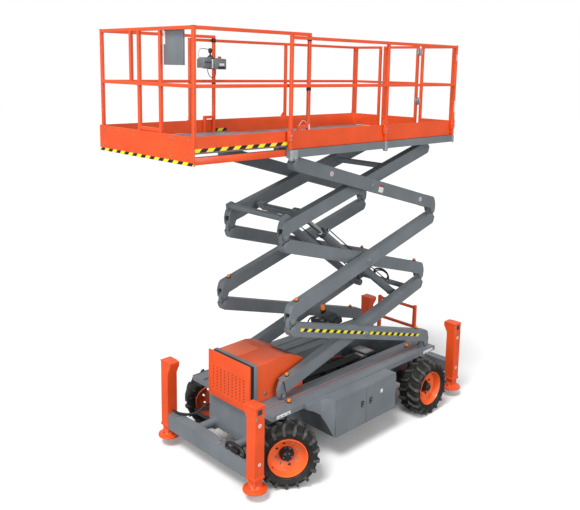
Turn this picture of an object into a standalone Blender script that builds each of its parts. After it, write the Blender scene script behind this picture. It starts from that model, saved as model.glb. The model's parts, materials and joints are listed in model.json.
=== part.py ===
"""Rough-terrain scissor lift with hydraulic outriggers and a roll-out deck.

Metres, +Z up, +X towards the front of the machine (the engine cover and the
roll-out deck), +Y to its left. The origin is on the ground, under the centre
of the overall box. The scissor stands part-way up, the roll-out deck is out,
the outriggers are up and the front wheels are turned to the right.
"""
import math

import bmesh
import bpy
from mathutils import Matrix, Vector

# ---------------------------------------------------------------- dimensions
MID_X = -0.149            # the datum that the lengths along X are given from
FRONT_AXLE_X = 1.05
REAR_AXLE_X = -1.25
TYRE_R = 0.345
TYRE_WIDTH = 0.30
RIM_R = 0.215
REAR_WHEEL_Y = 0.77
KINGPIN_Y = 0.615
WHEEL_OFFSET = 0.185      # from the kingpin out to the wheel's middle
STEER_ARM = 0.20
STEER_REST = math.radians(-36.7)   # front wheels turned to the right

ARM_LENGTH = 2.607        # from pin to pin
ARM_REST = math.radians(19.9)      # slope of the line from pin to pin
ARM_STOWED = math.radians(4.0)     # the same line with the tubes level
ARM_HEIGHT = 0.146
ARM_WIDTH = 0.10
ARM_WALL = 0.006
ARM_SETBACK = 0.05        # the tube stops this far short of its end pins
OUTER_Y = 0.57
INNER_Y = 0.442
PIN_R = 0.0185
PIN_HOLE_R = 0.0215
PIVOT_R = 0.0245
PIVOT_HOLE_R = 0.0275
LUG_R = 0.04
FOOT_R = 0.043
BASE_PIN_Z = 0.811
STAGES = 3

BEAM_TOP = 0.762
BEAM_FLANGE = 0.055
BEAM_OUTER_Y = 0.69
WALL_OUTER_Y = 0.375
WALL = 0.03
CHASSIS_REAR = -1.60
CHASSIS_FRONT = 1.30
BELLY_Z = 0.29

LEG_Y = 0.753
LEG_FRONT_X = 1.5885
LEG_REAR_X = -1.9345
LEG_BOX = 0.13
LEG_BOX_BOTTOM = 0.23
LEG_BOX_TOP = 1.02
LEG_STROKE = 0.30
PAD_R = 0.128
PAD_Z = 0.105

DECK_TOP = 3.578
DECK_FRONT = 1.2445
DECK_REAR = -1.5585
POST = 0.032
MAIN_POST_Y = 0.8105
MAIN_TOE_Y = 0.789
TOE_TOP = 3.737
MAIN_RAIL_TOP = 4.639
MID_RAIL_Z = 4.170
GATE_Y0 = -0.30
GATE_Y1 = 0.26

EXT_FRONT = 2.3605
EXT_REAR = 0.9225
EXT_POST_Y = 0.757
EXT_TOE_Y = 0.777
EXT_RAIL_TOP = 4.678
EXT_DECK_TOP = 3.596
EXT_PANEL_BOTTOM = 3.481

ROUND = 10                # sides of a small round piece

ORANGE = (0.86, 0.13, 0.02)
GREY = (0.17, 0.18, 0.19)
DARK = (0.03, 0.03, 0.033)
RUBBER = (0.02, 0.02, 0.02)
STEEL = (0.6, 0.6, 0.62)
DECK_GREY = (0.35, 0.35, 0.36)

# ---------------------------------------------------------------- scene setup
for old in list(bpy.data.objects):
    bpy.data.objects.remove(old, do_unlink=True)

LIFT = bpy.data.collections.new("scissor_lift")
GUIDES = bpy.data.collections.new("guides")
bpy.context.scene.collection.children.link(LIFT)
bpy.context.scene.collection.children.link(GUIDES)


def make_material(name, colour, roughness, metallic):
    material = bpy.data.materials.new(name)
    material.use_nodes = True
    shader = material.node_tree.nodes["Principled BSDF"]
    shader.inputs["Base Color"].default_value = (*colour, 1.0)
    shader.inputs["Roughness"].default_value = roughness
    shader.inputs["Metallic"].default_value = metallic
    return material


MATERIALS = {
    "orange_paint": make_material("orange_paint", ORANGE, 0.38, 0.0),
    "grey_paint": make_material("grey_paint", GREY, 0.42, 0.0),
    "dark_paint": make_material("dark_paint", DARK, 0.5, 0.0),
    "tyre": make_material("tyre", RUBBER, 0.85, 0.0),
    "steel": make_material("steel", STEEL, 0.25, 1.0),
    "deck": make_material("deck", DECK_GREY, 0.6, 0.0),
}

# ---------------------------------------------------------------- mesh tools


def at(x, y, z):
    """A point given from the datum, in the part's frame."""
    return Vector((x + MID_X, y, z))


def temp_object(bm):
    mesh = bpy.data.meshes.new("piece")
    bmesh.ops.recalc_face_normals(bm, faces=bm.faces)
    bm.to_mesh(mesh)
    bm.free()
    piece = bpy.data.objects.new("piece", mesh)
    GUIDES.objects.link(piece)
    piece.hide_render = True
    piece.display_type = "WIRE"
    return piece


def box(x, y, z):
    """A box from three (low, high) pairs."""
    bm = bmesh.new()
    bmesh.ops.create_cube(bm, size=1.0)
    centre = at(sum(x) / 2, sum(y) / 2, sum(z) / 2)
    size = (x[1] - x[0], y[1] - y[0], z[1] - z[0], 1)
    bm.transform(Matrix.Translation(centre) @ Matrix.Diagonal(size))
    return temp_object(bm)


def rod(start, end, radius, sides=ROUND, end_radius=None):
    """A round bar or cone between two points of the part's frame."""
    axis = end - start
    bm = bmesh.new()
    bmesh.ops.create_cone(
        bm, cap_ends=True, segments=sides, radius1=radius,
        radius2=radius if end_radius is None else end_radius, depth=axis.length,
    )
    turn = Vector((0, 0, 1)).rotation_difference(axis.normalized()).to_matrix().to_4x4()
    bm.transform(Matrix.Translation((start + end) / 2) @ turn)
    return temp_object(bm)


def outline(points, thickness, matrix, holes=()):
    """A flat outline with round holes, extruded about its own plane."""
    curve = bpy.data.curves.new("outline", "CURVE")
    curve.dimensions = "2D"
    curve.fill_mode = "BOTH"
    curve.extrude = thickness / 2
    loops = [points]
    for (cx, cy, radius) in holes:
        loops.append(arc(cx, cy, radius, 0, 360 * (1 - 1 / ROUND), ROUND))
    for loop in loops:
        spline = curve.splines.new("POLY")
        spline.points.add(len(loop) - 1)
        for point, (px, py) in zip(spline.points, loop):
            point.co = (px, py, 0, 1)
        spline.use_cyclic_u = True
    shape = bpy.data.objects.new("outline", curve)
    GUIDES.objects.link(shape)
    bpy.context.view_layer.update()
    mesh = bpy.data.meshes.new_from_object(
        shape.evaluated_get(bpy.context.evaluated_depsgraph_get()))
    bpy.data.objects.remove(shape, do_unlink=True)
    bm = bmesh.new()
    bm.from_mesh(mesh)
    bmesh.ops.remove_doubles(bm, verts=bm.verts, dist=0.00005)
    bm.transform(matrix)
    return temp_object(bm)


def arc(cx, cy, radius, start, end, steps):
    """Points on a circle from one angle to another, in degrees."""
    points = []
    for i in range(steps):
        angle = math.radians(start + (end - start) * i / (steps - 1))
        points.append((cx + radius * math.cos(angle), cy + radius * math.sin(angle)))
    return points


def turned(profile, start, axis, sides):
    """A closed (radius, along) profile turned about an axis from a point."""
    bm = bmesh.new()
    rings = []
    for radius, along in profile:
        count = sides if radius else 1
        angles = [2 * math.pi * i / sides for i in range(count)]
        rings.append([bm.verts.new((radius * math.cos(a), radius * math.sin(a), along)) for a in angles])
    for k, ring in enumerate(rings):
        after = rings[(k + 1) % len(rings)]
        if len(ring) == 1 and len(after) == 1:
            continue
        for i in range(sides):
            corners = []
            for source, index in ((ring, i), (ring, i + 1), (after, i + 1), (after, i)):
                corner = source[index % len(source)]
                if corner not in corners:
                    corners.append(corner)
            bm.faces.new(corners)
    turn = Vector((0, 0, 1)).rotation_difference(axis).to_matrix().to_4x4()
    bm.transform(Matrix.Translation(start) @ turn)
    return temp_object(bm)


def combine(pieces, cutters=()):
    """One object from several: a union of pieces, less the cutters."""
    base = pieces[0]
    steps = [(piece, "UNION") for piece in pieces[1:]]
    steps += [(cutter, "DIFFERENCE") for cutter in cutters]
    for other, kind in steps:
        modifier = base.modifiers.new(kind, "BOOLEAN")
        modifier.operation = kind
        modifier.object = other
    if steps:
        bpy.context.view_layer.update()
        graph = bpy.context.evaluated_depsgraph_get()
        mesh = bpy.data.meshes.new_from_object(base.evaluated_get(graph))
        for other, _ in steps:
            bpy.data.objects.remove(other, do_unlink=True)
        base.modifiers.clear()
        base.data = mesh
    return base


BODIES = {}


def body(name, joint_at, parent=None):
    """An empty on the joint's axis that carries a moving body's nodes."""
    empty = bpy.data.objects.new(name + "_joint", None)
    empty.empty_display_size = 0.1
    LIFT.objects.link(empty)
    BODIES[name] = (empty, Vector(joint_at))
    if parent:
        empty.parent = BODIES[parent][0]
        empty.location = Vector(joint_at) - BODIES[parent][1]
    else:
        empty.location = joint_at


def node(name, body_name, material, pieces, cutters=(), smooth=False, place=None):
    """A finished node of a body, with its origin on the body's joint."""
    piece = combine(list(pieces), list(cutters))
    if place:
        piece.data.transform(place)
    GUIDES.objects.unlink(piece)
    LIFT.objects.link(piece)
    piece.hide_render = False
    piece.display_type = "TEXTURED"
    piece.name = name
    piece.data.name = name
    empty, joint_at = BODIES[body_name]
    piece.data.transform(Matrix.Translation(-joint_at))
    piece.parent = empty
    piece.data.materials.clear()
    piece.data.materials.append(MATERIALS[material])
    if smooth:
        piece.data.shade_smooth()
        piece.data.set_sharp_from_angle(angle=math.radians(35))
    return piece


def mirrored(y, side):
    """A (low, high) pair on the left side, or its mirror on the right."""
    return y if side > 0 else (-y[1], -y[0])


SIDES = (("left", 1), ("right", -1))
ENDS = (("front", 1), ("rear", -1))

# ---------------------------------------------------------------- scissor geometry
TUBE_TILT = ARM_REST - ARM_STOWED
HALF = ARM_LENGTH / 2 * math.cos(ARM_STOWED)
PIN_OFFSET = ARM_LENGTH / 2 * math.sin(ARM_STOWED)
RUN = ARM_LENGTH * math.cos(ARM_REST)
RISE = ARM_LENGTH * math.sin(ARM_REST)
REAR_PIN_X = -1.4995
FRONT_PIN_X = REAR_PIN_X + RUN
CENTRE_X = REAR_PIN_X + RUN / 2


def pin_at(end, level):
    """A scissor pin on the centre plane: end is 1 at the front, -1 at the rear."""
    x = FRONT_PIN_X if end > 0 else REAR_PIN_X
    return at(x, 0, BASE_PIN_Z + level * RISE)


def pivot_at(stage):
    return at(CENTRE_X, 0, BASE_PIN_Z + (stage - 0.5) * RISE)


def arm_place(stage, rise_to):
    """From an arm's own frame (along, across, up) to the part's frame."""
    turn = Matrix.Rotation(0 if rise_to > 0 else math.pi, 4, "Z")
    return Matrix.Translation(pivot_at(stage)) @ turn @ Matrix.Rotation(-TUBE_TILT, 4, "Y")


def on_arm(stage, rise_to, along, up):
    return arm_place(stage, rise_to) @ Vector((along, 0, up))


LUG_THICKNESS = 0.050
CHEEK = 0.020
CHEEK_Y = 0.042
TUBE_END = HALF - ARM_SETBACK


def end_outline(sign, radius, half_height, steps=6):
    """Plate round an arm's end pin: sign is -1 for the lower, 1 for the upper end.

    The upper end is the lower one turned through half a circle.
    """
    px, py = HALF, PIN_OFFSET
    points = [(px - 0.20, half_height), (px - 0.06, half_height)]
    points += arc(px, py, radius, 160, 0, steps)
    points += [(px + 0.03, py - 0.07), (px - 0.02, 0.02 - half_height), (px - 0.05, -half_height),
               (px - 0.20, -half_height)]
    return [(sign * x, sign * y) for x, y in points]


def upright(points, thickness, y, holes=()):
    """A flat outline in the XZ plane."""
    return outline(points, thickness, Matrix.Translation((0, y, 0)) @ Matrix.Rotation(math.pi / 2, 4, "X"), holes)


def rectangle(half_x, half_z):
    return [(-half_x, -half_z), (half_x, -half_z), (half_x, half_z), (-half_x, half_z)]


def tube(y, centre_hole):
    """The hollow rectangular tube of one arm."""
    holes = [(0, 0, PIVOT_HOLE_R)] if centre_hole else []
    outside = upright(rectangle(TUBE_END, ARM_HEIGHT / 2), ARM_WIDTH, y, holes)
    bore = upright(rectangle(TUBE_END + 0.05, ARM_HEIGHT / 2 - ARM_WALL), ARM_WIDTH - 2 * ARM_WALL, y)
    return combine([outside], [bore])


def arm_pieces(y, lower, upper, centre_hole):
    """One arm: tube, lower end (clevis or foot) and upper end (lug or shoe)."""
    pieces = [tube(y, centre_hole)]
    inside = ARM_HEIGHT / 2 - ARM_WALL / 2
    if lower == "clevis":
        for sign in (-1, 1):
            cheek = end_outline(-1, LUG_R, ARM_HEIGHT / 2 + 0.002)
            pieces.append(upright(cheek, CHEEK, y + sign * CHEEK_Y))
        pieces.append(rod(Vector((-HALF, y - CHEEK_Y, -PIN_OFFSET)), Vector((-HALF, y + CHEEK_Y, -PIN_OFFSET)), PIN_R))
    else:
        pieces.append(upright(end_outline(-1, FOOT_R, inside), LUG_THICKNESS, y))
    hole = [(HALF, PIN_OFFSET, PIN_HOLE_R)] if upper == "lug" else []
    radius = LUG_R if upper == "lug" else FOOT_R
    pieces.append(upright(end_outline(1, radius, inside), LUG_THICKNESS, y, hole))
    return pieces


CROSS_R = 0.035


def cross_tube(along, up, radius=CROSS_R):
    return rod(Vector((along, -INNER_Y, up)), Vector((along, INNER_Y, up)), radius)


def outer_arms(stage, rise_to, body_name, prefix, upper):
    for side_name, side in SIDES:
        pieces = arm_pieces(rise_to * side * OUTER_Y, "clevis", upper, True)
        node(f"{prefix}_{side_name}", body_name, "grey_paint", pieces, place=arm_place(stage, rise_to))


def inner_arms(stage, rise_to, name, lower, upper, extras):
    pieces = []
    for _, side in SIDES:
        pieces += arm_pieces(side * INNER_Y, lower, upper, False)
        pieces.append(rod(Vector((0, side * (INNER_Y + 0.03), 0)), Vector((0, side * (OUTER_Y + 0.062), 0)), PIVOT_R))
    node(name, name, "grey_paint", pieces + extras, place=arm_place(stage, rise_to))


# ---------------------------------------------------------------- lift cylinders
CYL_Y = 0.28
CYL_ALONG = 0.908         # pin distance from the arm's middle
BARREL_R = 0.05
ROD_R = 0.028
BARREL_BORE = 0.034
BARREL_LENGTH = 1.68
CYL_TOP = on_arm(3, -1, -CYL_ALONG, 0)
CYL_BOTTOM = on_arm(1, -1, CYL_ALONG, 0)
CYL_AXIS = (CYL_BOTTOM - CYL_TOP).normalized()


def lift_cylinders():
    """Two parallel cylinders: both rods are one body, both barrels another.

    They are made along X, from the rods' eyes towards the barrels' eyes.
    """
    place = Matrix.Translation(CYL_TOP) @ Matrix.Rotation(math.atan2(-CYL_AXIS.z, CYL_AXIS.x), 4, "Y")
    length = (CYL_BOTTOM - CYL_TOP).length
    mouth = length - BARREL_LENGTH
    depth = BARREL_LENGTH - 0.07
    barrel = [(0, BARREL_LENGTH - 0.02), (0, depth), (BARREL_BORE, depth), (BARREL_BORE, 0), (BARREL_R + 0.006, 0),
              (BARREL_R + 0.006, 0.06), (BARREL_R, 0.07), (BARREL_R, BARREL_LENGTH - 0.02)]
    rods, eye_holes, barrels = [], [], []
    forward = Vector((1, 0, 0))
    for _, side in SIDES:
        y = side * CYL_Y
        eye = (Vector((0, y - 0.04, 0)), Vector((0, y + 0.04, 0)))
        rods.append(rod(*eye, 0.045, 16))
        rods.append(rod(Vector((0.032, y, 0)), Vector((1.60, y, 0)), ROD_R, 12))
        eye_holes.append(rod(Vector((0, y - 0.1, 0)), Vector((0, y + 0.1, 0)), PIN_HOLE_R, 16))
        barrels.append(turned(barrel, Vector((mouth, y, 0)), forward, 12))
        barrels.append(rod(eye[0] + forward * length, eye[1] + forward * length, 0.045, 16))
    reach = CYL_Y - BARREL_R + 0.012
    brace_x = mouth + 0.9
    barrels.append(rod(Vector((brace_x, -reach, 0)), Vector((brace_x, reach, 0)), 0.02))
    brace = upright([(-0.055, 0.03), (-0.055, 0.055), (0.04, 0.055), (0.04, 0.03)], 2 * CYL_Y, 0)
    node("lift_rods", "lift_rods", "steel", rods + [brace], eye_holes, place=place)
    node("lift_barrels", "lift_barrels", "grey_paint", barrels, place=place)


def scissor():
    body("lower_outer_arms", pin_at(-1, 0))
    body("lower_inner_arms", pivot_at(1), "lower_outer_arms")
    body("middle_inner_arms", pin_at(-1, 1), "lower_inner_arms")
    body("middle_outer_arms", pivot_at(2), "middle_inner_arms")
    body("upper_inner_arms", pin_at(1, 2), "middle_inner_arms")
    body("upper_outer_arms", pivot_at(3), "upper_inner_arms")
    body("lift_rods", CYL_TOP, "upper_inner_arms")
    body("lift_barrels", CYL_BOTTOM, "lift_rods")
    outer_arms(1, 1, "lower_outer_arms", "lower_outer_arm", "lug")
    outer_arms(2, -1, "middle_outer_arms", "middle_outer_arm", "lug")
    outer_arms(3, 1, "upper_outer_arms", "upper_outer_arm", "shoe")
    stubs, ears = [], []
    for _, side in SIDES:
        stubs.append(rod(Vector((CYL_ALONG, side * (INNER_Y - 0.02), 0)),
                         Vector((CYL_ALONG, side * (CYL_Y + 0.056), 0)), 0.035, 16))
        ear = [(-1.305, 0.04), (-1.290, 0.135), (-1.210, 0.139), (-1.120, 0.04)]
        ears.append(upright(ear, 0.03, side * INNER_Y))
    inner_arms(1, -1, "lower_inner_arms", "foot", "lug", stubs + [cross_tube(-0.30, 0), cross_tube(1.10, 0)])
    inner_arms(2, 1, "middle_inner_arms", "clevis", "lug", [cross_tube(-1.10, 0), cross_tube(-0.45, 0)])
    inner_arms(3, -1, "upper_inner_arms", "clevis", "lug",
               ears + [cross_tube(-1.245, 0.095), cross_tube(0.55, 0), cross_tube(-CYL_ALONG, 0, PIN_R)])
    lift_cylinders()


# ---------------------------------------------------------------- chassis
AXLE_HALF = 0.06          # half the depth and height of an axle beam
GAP = 0.0005


def side_plate(points, thickness, y, holes=()):
    """A plate in an XZ plane, its outline given from the datum."""
    shifted_holes = [(x + MID_X, z, radius) for x, z, radius in holes]
    return upright([(x + MID_X, z) for x, z in points], thickness, y, shifted_holes)


def chassis_frame():
    length = (CHASSIS_REAR, CHASSIS_FRONT)
    pieces = [box(length, (-WALL_OUTER_Y, WALL_OUTER_Y), (BELLY_Z, BELLY_Z + 0.012))]
    for _, side in SIDES:
        pieces.append(box(length, mirrored((WALL_OUTER_Y - WALL, WALL_OUTER_Y), side), (BELLY_Z, BEAM_TOP)))
        pieces.append(box(length, mirrored((WALL_OUTER_Y - 0.01, BEAM_OUTER_Y), side),
                          (BEAM_TOP - BEAM_FLANGE, BEAM_TOP)))
        lug = arc(REAR_PIN_X, BASE_PIN_Z, LUG_R - 0.002, 0, 180, 9)
        lug += [(REAR_PIN_X - 0.07, BEAM_TOP - 0.01), (REAR_PIN_X + 0.07, BEAM_TOP - 0.01)]
        pieces.append(side_plate(lug, LUG_THICKNESS, side * OUTER_Y, [(REAR_PIN_X, BASE_PIN_Z, PIN_HOLE_R)]))
    for x in (CHASSIS_FRONT - 0.02, CHASSIS_REAR):
        pieces.append(box((x, x + 0.02), (-WALL_OUTER_Y, WALL_OUTER_Y), (BELLY_Z, 0.70)))
    reach = LEG_Y - LEG_BOX / 2 - GAP
    pieces.append(box((LEG_FRONT_X - 0.06, LEG_FRONT_X + 0.06), (-reach, reach), (0.215, 0.40)))
    pieces.append(box((LEG_REAR_X - 0.06, LEG_REAR_X + 0.06), (-reach, reach), (0.32, 0.47)))
    for _, side in SIDES:
        pieces.append(rod(at(CHASSIS_FRONT - 0.01, side * 0.29, 0.335), at(LEG_FRONT_X, side * 0.29, 0.335), 0.05, 20))
        pieces.append(box((LEG_REAR_X, CHASSIS_REAR + 0.01), mirrored((0.33, 0.375), side), (0.33, 0.45)))
    cuts = []
    for x in (FRONT_AXLE_X, REAR_AXLE_X):
        reach = AXLE_HALF + GAP
        cuts.append(box((x - reach, x + reach), (-0.5, 0.5), (BELLY_Z - 0.02, TYRE_R + AXLE_HALF + GAP)))
    node("chassis_frame", "chassis", "grey_paint", pieces, cuts)


def axle_beam(x, reach):
    return box((x - AXLE_HALF, x + AXLE_HALF), (-reach, reach), (TYRE_R - AXLE_HALF, TYRE_R + AXLE_HALF))


def axles():
    """The front axle ends in yokes for the kingpins, the rear one in hubs."""
    x = FRONT_AXLE_X
    front = [axle_beam(x, KINGPIN_Y - 0.11)]
    for _, side in SIDES:
        front.append(box((x - 0.05, x + 0.05), mirrored((KINGPIN_Y - 0.13, KINGPIN_Y - 0.10), side),
                         (TYRE_R - 0.105, TYRE_R + 0.105)))
        for z in (TYRE_R - 0.105, TYRE_R + 0.08):
            yoke = mirrored((KINGPIN_Y - 0.12, KINGPIN_Y + 0.03), side)
            front.append(box((x - 0.035, x + 0.035), yoke, (z, z + 0.025)))
    node("front_axle", "chassis", "dark_paint", front)
    x = REAR_AXLE_X
    rear = [axle_beam(x, 0.56)]
    for _, side in SIDES:
        rear.append(rod(at(x, side * 0.54, TYRE_R), at(x, side * (REAR_WHEEL_Y - 0.045), TYRE_R), 0.08, 20))
    node("rear_axle", "chassis", "dark_paint", rear)


def turned_about(point, turn):
    return Matrix.Translation(point) @ turn @ Matrix.Translation(-point)


def steering():
    """Knuckles on kingpins, joined by a tie rod that stays parallel to the axle."""
    turn = Matrix.Rotation(STEER_REST, 4, "Z")
    tips = {}
    for side_name, side in SIDES:
        king = at(FRONT_AXLE_X, side * KINGPIN_Y, TYRE_R)
        body(f"knuckle_{side_name}", king)
        block = rod(king - Vector((0, 0, 0.079)), king + Vector((0, 0, 0.079)), 0.04, 16)
        spindle = rod(king - Vector((0, side * 0.013, 0)), king + Vector((0, side * (WHEEL_OFFSET - 0.045), 0)), 0.055, 16)
        shape = [(-0.011, -0.03)] + arc(STEER_ARM, 0, 0.026, -75, 75, 7) + [(-0.011, 0.03)]
        arm = outline(shape, 0.02, Matrix.Translation(king + Vector((0, 0, -0.05))), [(STEER_ARM, 0, 0.0135)])
        node(f"knuckle_{side_name}", f"knuckle_{side_name}", "dark_paint", [block, spindle, arm],
             place=turned_about(king, turn))
        tips[side] = king + turn.to_3x3() @ Vector((STEER_ARM, 0, -0.05))
    body("tie_rod", tips[1], "knuckle_left")
    low = Vector((0, 0, -0.045))
    pieces = [rod(tips[1] + low, tips[-1] + low, 0.019)]
    for side in (1, -1):
        pieces.append(rod(tips[side] + Vector((0, 0, -0.067)), tips[side] + Vector((0, 0, -0.015)), 0.026))
        pieces.append(rod(tips[side] + Vector((0, 0, -0.03)), tips[side] + Vector((0, 0, 0.014)), 0.0115))
    node("tie_rod", "tie_rod", "dark_paint", pieces)


def tyre_profile():
    w, r, b = TYRE_WIDTH / 2, TYRE_R, RIM_R
    return [(b, 0.045 - w), (b + 0.03, -w), (r - 0.05, -w), (r, 0.045 - w),
            (r, w - 0.045), (r - 0.05, w), (b + 0.03, w), (b, w - 0.045)]


def rim_profile():
    """A dished disc in a thin barrel, with its hub boss outside."""
    w = TYRE_WIDTH / 2 - 0.03
    r = RIM_R - GAP
    return [(r, -w), (r - 0.008, -w), (r - 0.014, 0.02), (0.10, -0.02), (0.0, -0.02),
            (0.0, 0.105), (0.055, 0.105), (0.06, 0.01), (0.10, 0.006), (r - 0.03, 0.04), (r - 0.012, w), (r, w)]


def wheels():
    steer = Matrix.Rotation(STEER_REST, 4, "Z")
    for end_name, end in ENDS:
        for side_name, side in SIDES:
            name = f"{end_name}_{side_name}"
            if end > 0:
                king = at(FRONT_AXLE_X, side * KINGPIN_Y, TYRE_R)
                straight = king + Vector((0, side * WHEEL_OFFSET, 0))
                centre = king + steer.to_3x3() @ (straight - king)
                body(f"wheel_{name}", centre, f"knuckle_{side_name}")
            else:
                straight = at(REAR_AXLE_X, side * REAR_WHEEL_Y, TYRE_R)
                body(f"wheel_{name}", straight)
            outboard = Vector((0, side, 0))
            tyre = turned(tyre_profile(), straight, outboard, 24)
            rim = turned(rim_profile(), straight, outboard, 24)
            place = turned_about(king, steer) if end > 0 else None
            node(f"tyre_{name}", f"wheel_{name}", "tyre", [tyre], smooth=True, place=place)
            node(f"rim_{name}", f"wheel_{name}", "orange_paint", [rim], smooth=True, place=place)


def outriggers():
    half = LEG_BOX / 2
    wall = 0.009
    leg = half - wall - 0.003
    for end_name, end in ENDS:
        x = LEG_FRONT_X if end > 0 else LEG_REAR_X
        for side_name, side in SIDES:
            y = side * LEG_Y
            name = f"{end_name}_{side_name}"
            shell = box((x - half, x + half), (y - half, y + half), (LEG_BOX_BOTTOM, LEG_BOX_TOP))
            flare = [(LEG_Y - half + 0.01, LEG_BOX_TOP - 0.16), (LEG_Y - half - 0.05, LEG_BOX_TOP - 0.05),
                     (LEG_Y - half - 0.05, LEG_BOX_TOP), (LEG_Y - half + 0.01, LEG_BOX_TOP)]
            flare = [(side * v, z) for v, z in flare]
            to_yz = Matrix(((0, 0, 1, 0), (1, 0, 0, 0), (0, 1, 0, 0), (0, 0, 0, 1)))
            cap = outline(flare, LEG_BOX, Matrix.Translation((x + MID_X, 0, 0)) @ to_yz)
            bore = box((x - half + wall, x + half - wall), (y - half + wall, y + half - wall),
                       (LEG_BOX_BOTTOM - 0.01, LEG_BOX_TOP - 0.01))
            node(f"outrigger_{name}", "chassis", "orange_paint", [shell, cap], [bore])
            body(f"leg_{name}", at(x, y, PAD_Z))
            bar = box((x - leg, x + leg), (y - leg, y + leg), (PAD_Z + 0.03, 0.90))
            dish = [(0, 0), (PAD_R, 0), (PAD_R, 0.018), (0.07, 0.032), (0.062, 0.06), (0, 0.06)]
            pad = turned(dish, at(x, y, PAD_Z), Vector((0, 0, 1)), 20)
            node(f"leg_{name}", f"leg_{name}", "orange_paint", [bar, pad])


CAB_Y = 0.848
DOOR_THICK = 0.012
CAB_X = (-0.5575, 0.4955)
CAB_Z = (0.303, 0.755)
CAB_NOSE_X = 0.84
CAB_NOSE_Y = 0.745
CAB_SPLIT_X = -0.016


def cabinets():
    """Side cabinets outside the chassis walls, each with two side doors."""
    inner = WALL_OUTER_Y + GAP
    top = BEAM_TOP - BEAM_FLANGE - GAP
    for side_name, side in SIDES:
        plan = [(CAB_X[0], inner), (CAB_NOSE_X, inner), (CAB_NOSE_X, CAB_NOSE_Y), (0.62, CAB_NOSE_Y),
                (CAB_X[1], CAB_Y), (CAB_X[0], CAB_Y)]
        plan = [(px + MID_X, side * py) for px, py in plan]
        shell = outline(plan, CAB_Z[1] - CAB_Z[0], Matrix.Translation((0, 0, sum(CAB_Z) / 2)))
        under_rail = box((-0.7, 0.9), mirrored((0.3, BEAM_OUTER_Y + GAP), side), (top, 0.80))
        nose = [(0.50, 0.29), (0.57, 0.46), (0.63, 0.58), (0.74, 0.655), (0.84, 0.706), (0.90, 0.70), (0.90, 0.29)]
        wheel_space = side_plate(nose, 0.60, side * 0.62)
        cavity = box((CAB_X[0] + 0.012, CAB_X[1] - 0.012), mirrored((inner + 0.012, CAB_Y + 0.02), side),
                     (CAB_Z[0] + 0.012, top - 0.012))
        node(f"cabinet_{side_name}", "chassis", "grey_paint", [shell], [under_rail, wheel_space, cavity])
        spans = (("rear", (CAB_X[0], CAB_SPLIT_X - 0.003), CAB_X[0]),
                 ("front", (CAB_SPLIT_X + 0.003, CAB_X[1]), CAB_X[1]))
        for part, span, hinge_x in spans:
            name = f"cabinet_door_{part}_{side_name}"
            middle = CAB_Y + 0.001 + DOOR_THICK / 2
            body(name, at(hinge_x, side * middle, sum(CAB_Z) / 2))
            door = box(span, mirrored((middle - DOOR_THICK / 2, middle + DOOR_THICK / 2), side), CAB_Z)
            node(name, name, "grey_paint", [door])


HOOD_REAR = 0.52
HOOD_FRONT = 1.22
HOOD_Y = (-0.315, 0.350)


def hood_outline(grow):
    low = BEAM_TOP - 0.10 if grow < 0 else BEAM_TOP + 0.001
    return [(HOOD_REAR - grow, low), (HOOD_FRONT + grow, low), (HOOD_FRONT + grow, 1.19 + grow),
            (0.82, 1.20 + grow), (0.70, 1.175 + grow), (HOOD_REAR - grow, 1.09 + grow)]


def front_end():
    """Engine cover, engine, radiator and the guard panel ahead of it."""
    wide = HOOD_Y[1] - HOOD_Y[0]
    middle = sum(HOOD_Y) / 2
    cover = side_plate(hood_outline(0), wide, middle)
    inside = side_plate(hood_outline(-0.01), wide - 0.02, middle)
    node("engine_cover", "chassis", "orange_paint", [cover], [inside])
    node("engine", "chassis", "dark_paint", [box((0.58, 0.98), (-0.26, 0.26), (BELLY_Z + 0.0125, 1.02))])
    node("radiator", "chassis", "dark_paint", [box((1.235, 1.335), (-0.30, 0.37), (BEAM_TOP + 0.002, 1.205))])
    node("guard_panel", "chassis", "orange_paint", [box((1.352, 1.360), (-0.31, 0.39), (0.703, 1.225))])


LADDER_X = -1.66


def ladder():
    pieces = []
    for side in (-1, 1):
        pieces.append(box((LADDER_X - 0.02, LADDER_X + 0.02), (side * 0.30 - 0.02, side * 0.30 + 0.02), (0.48, 1.20)))
        pieces.append(box((LADDER_X, CHASSIS_REAR - 0.0005), (side * 0.30 - 0.015, side * 0.30 + 0.015), (0.55, 0.60)))
    for z in (0.64, 0.90, 1.17):
        pieces.append(box((LADDER_X - 0.018, LADDER_X + 0.018), (-0.30, 0.30), (z - 0.015, z + 0.015)))
    node("ladder", "chassis", "orange_paint", pieces)


# ---------------------------------------------------------------- platform
FLOOR = 0.012
TREAD = 0.003              # the floor's tread field stands this proud of its rim


def bar_x(x, y, z):
    h = POST / 2
    return box(x, (y - h, y + h), (z - h, z + h))


def bar_y(x, y, z):
    h = POST / 2
    return box((x - h, x + h), y, (z - h, z + h))


def post(x, y, z):
    h = POST / 2
    return box((x - h, x + h), (y - h, y + h), z)


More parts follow.
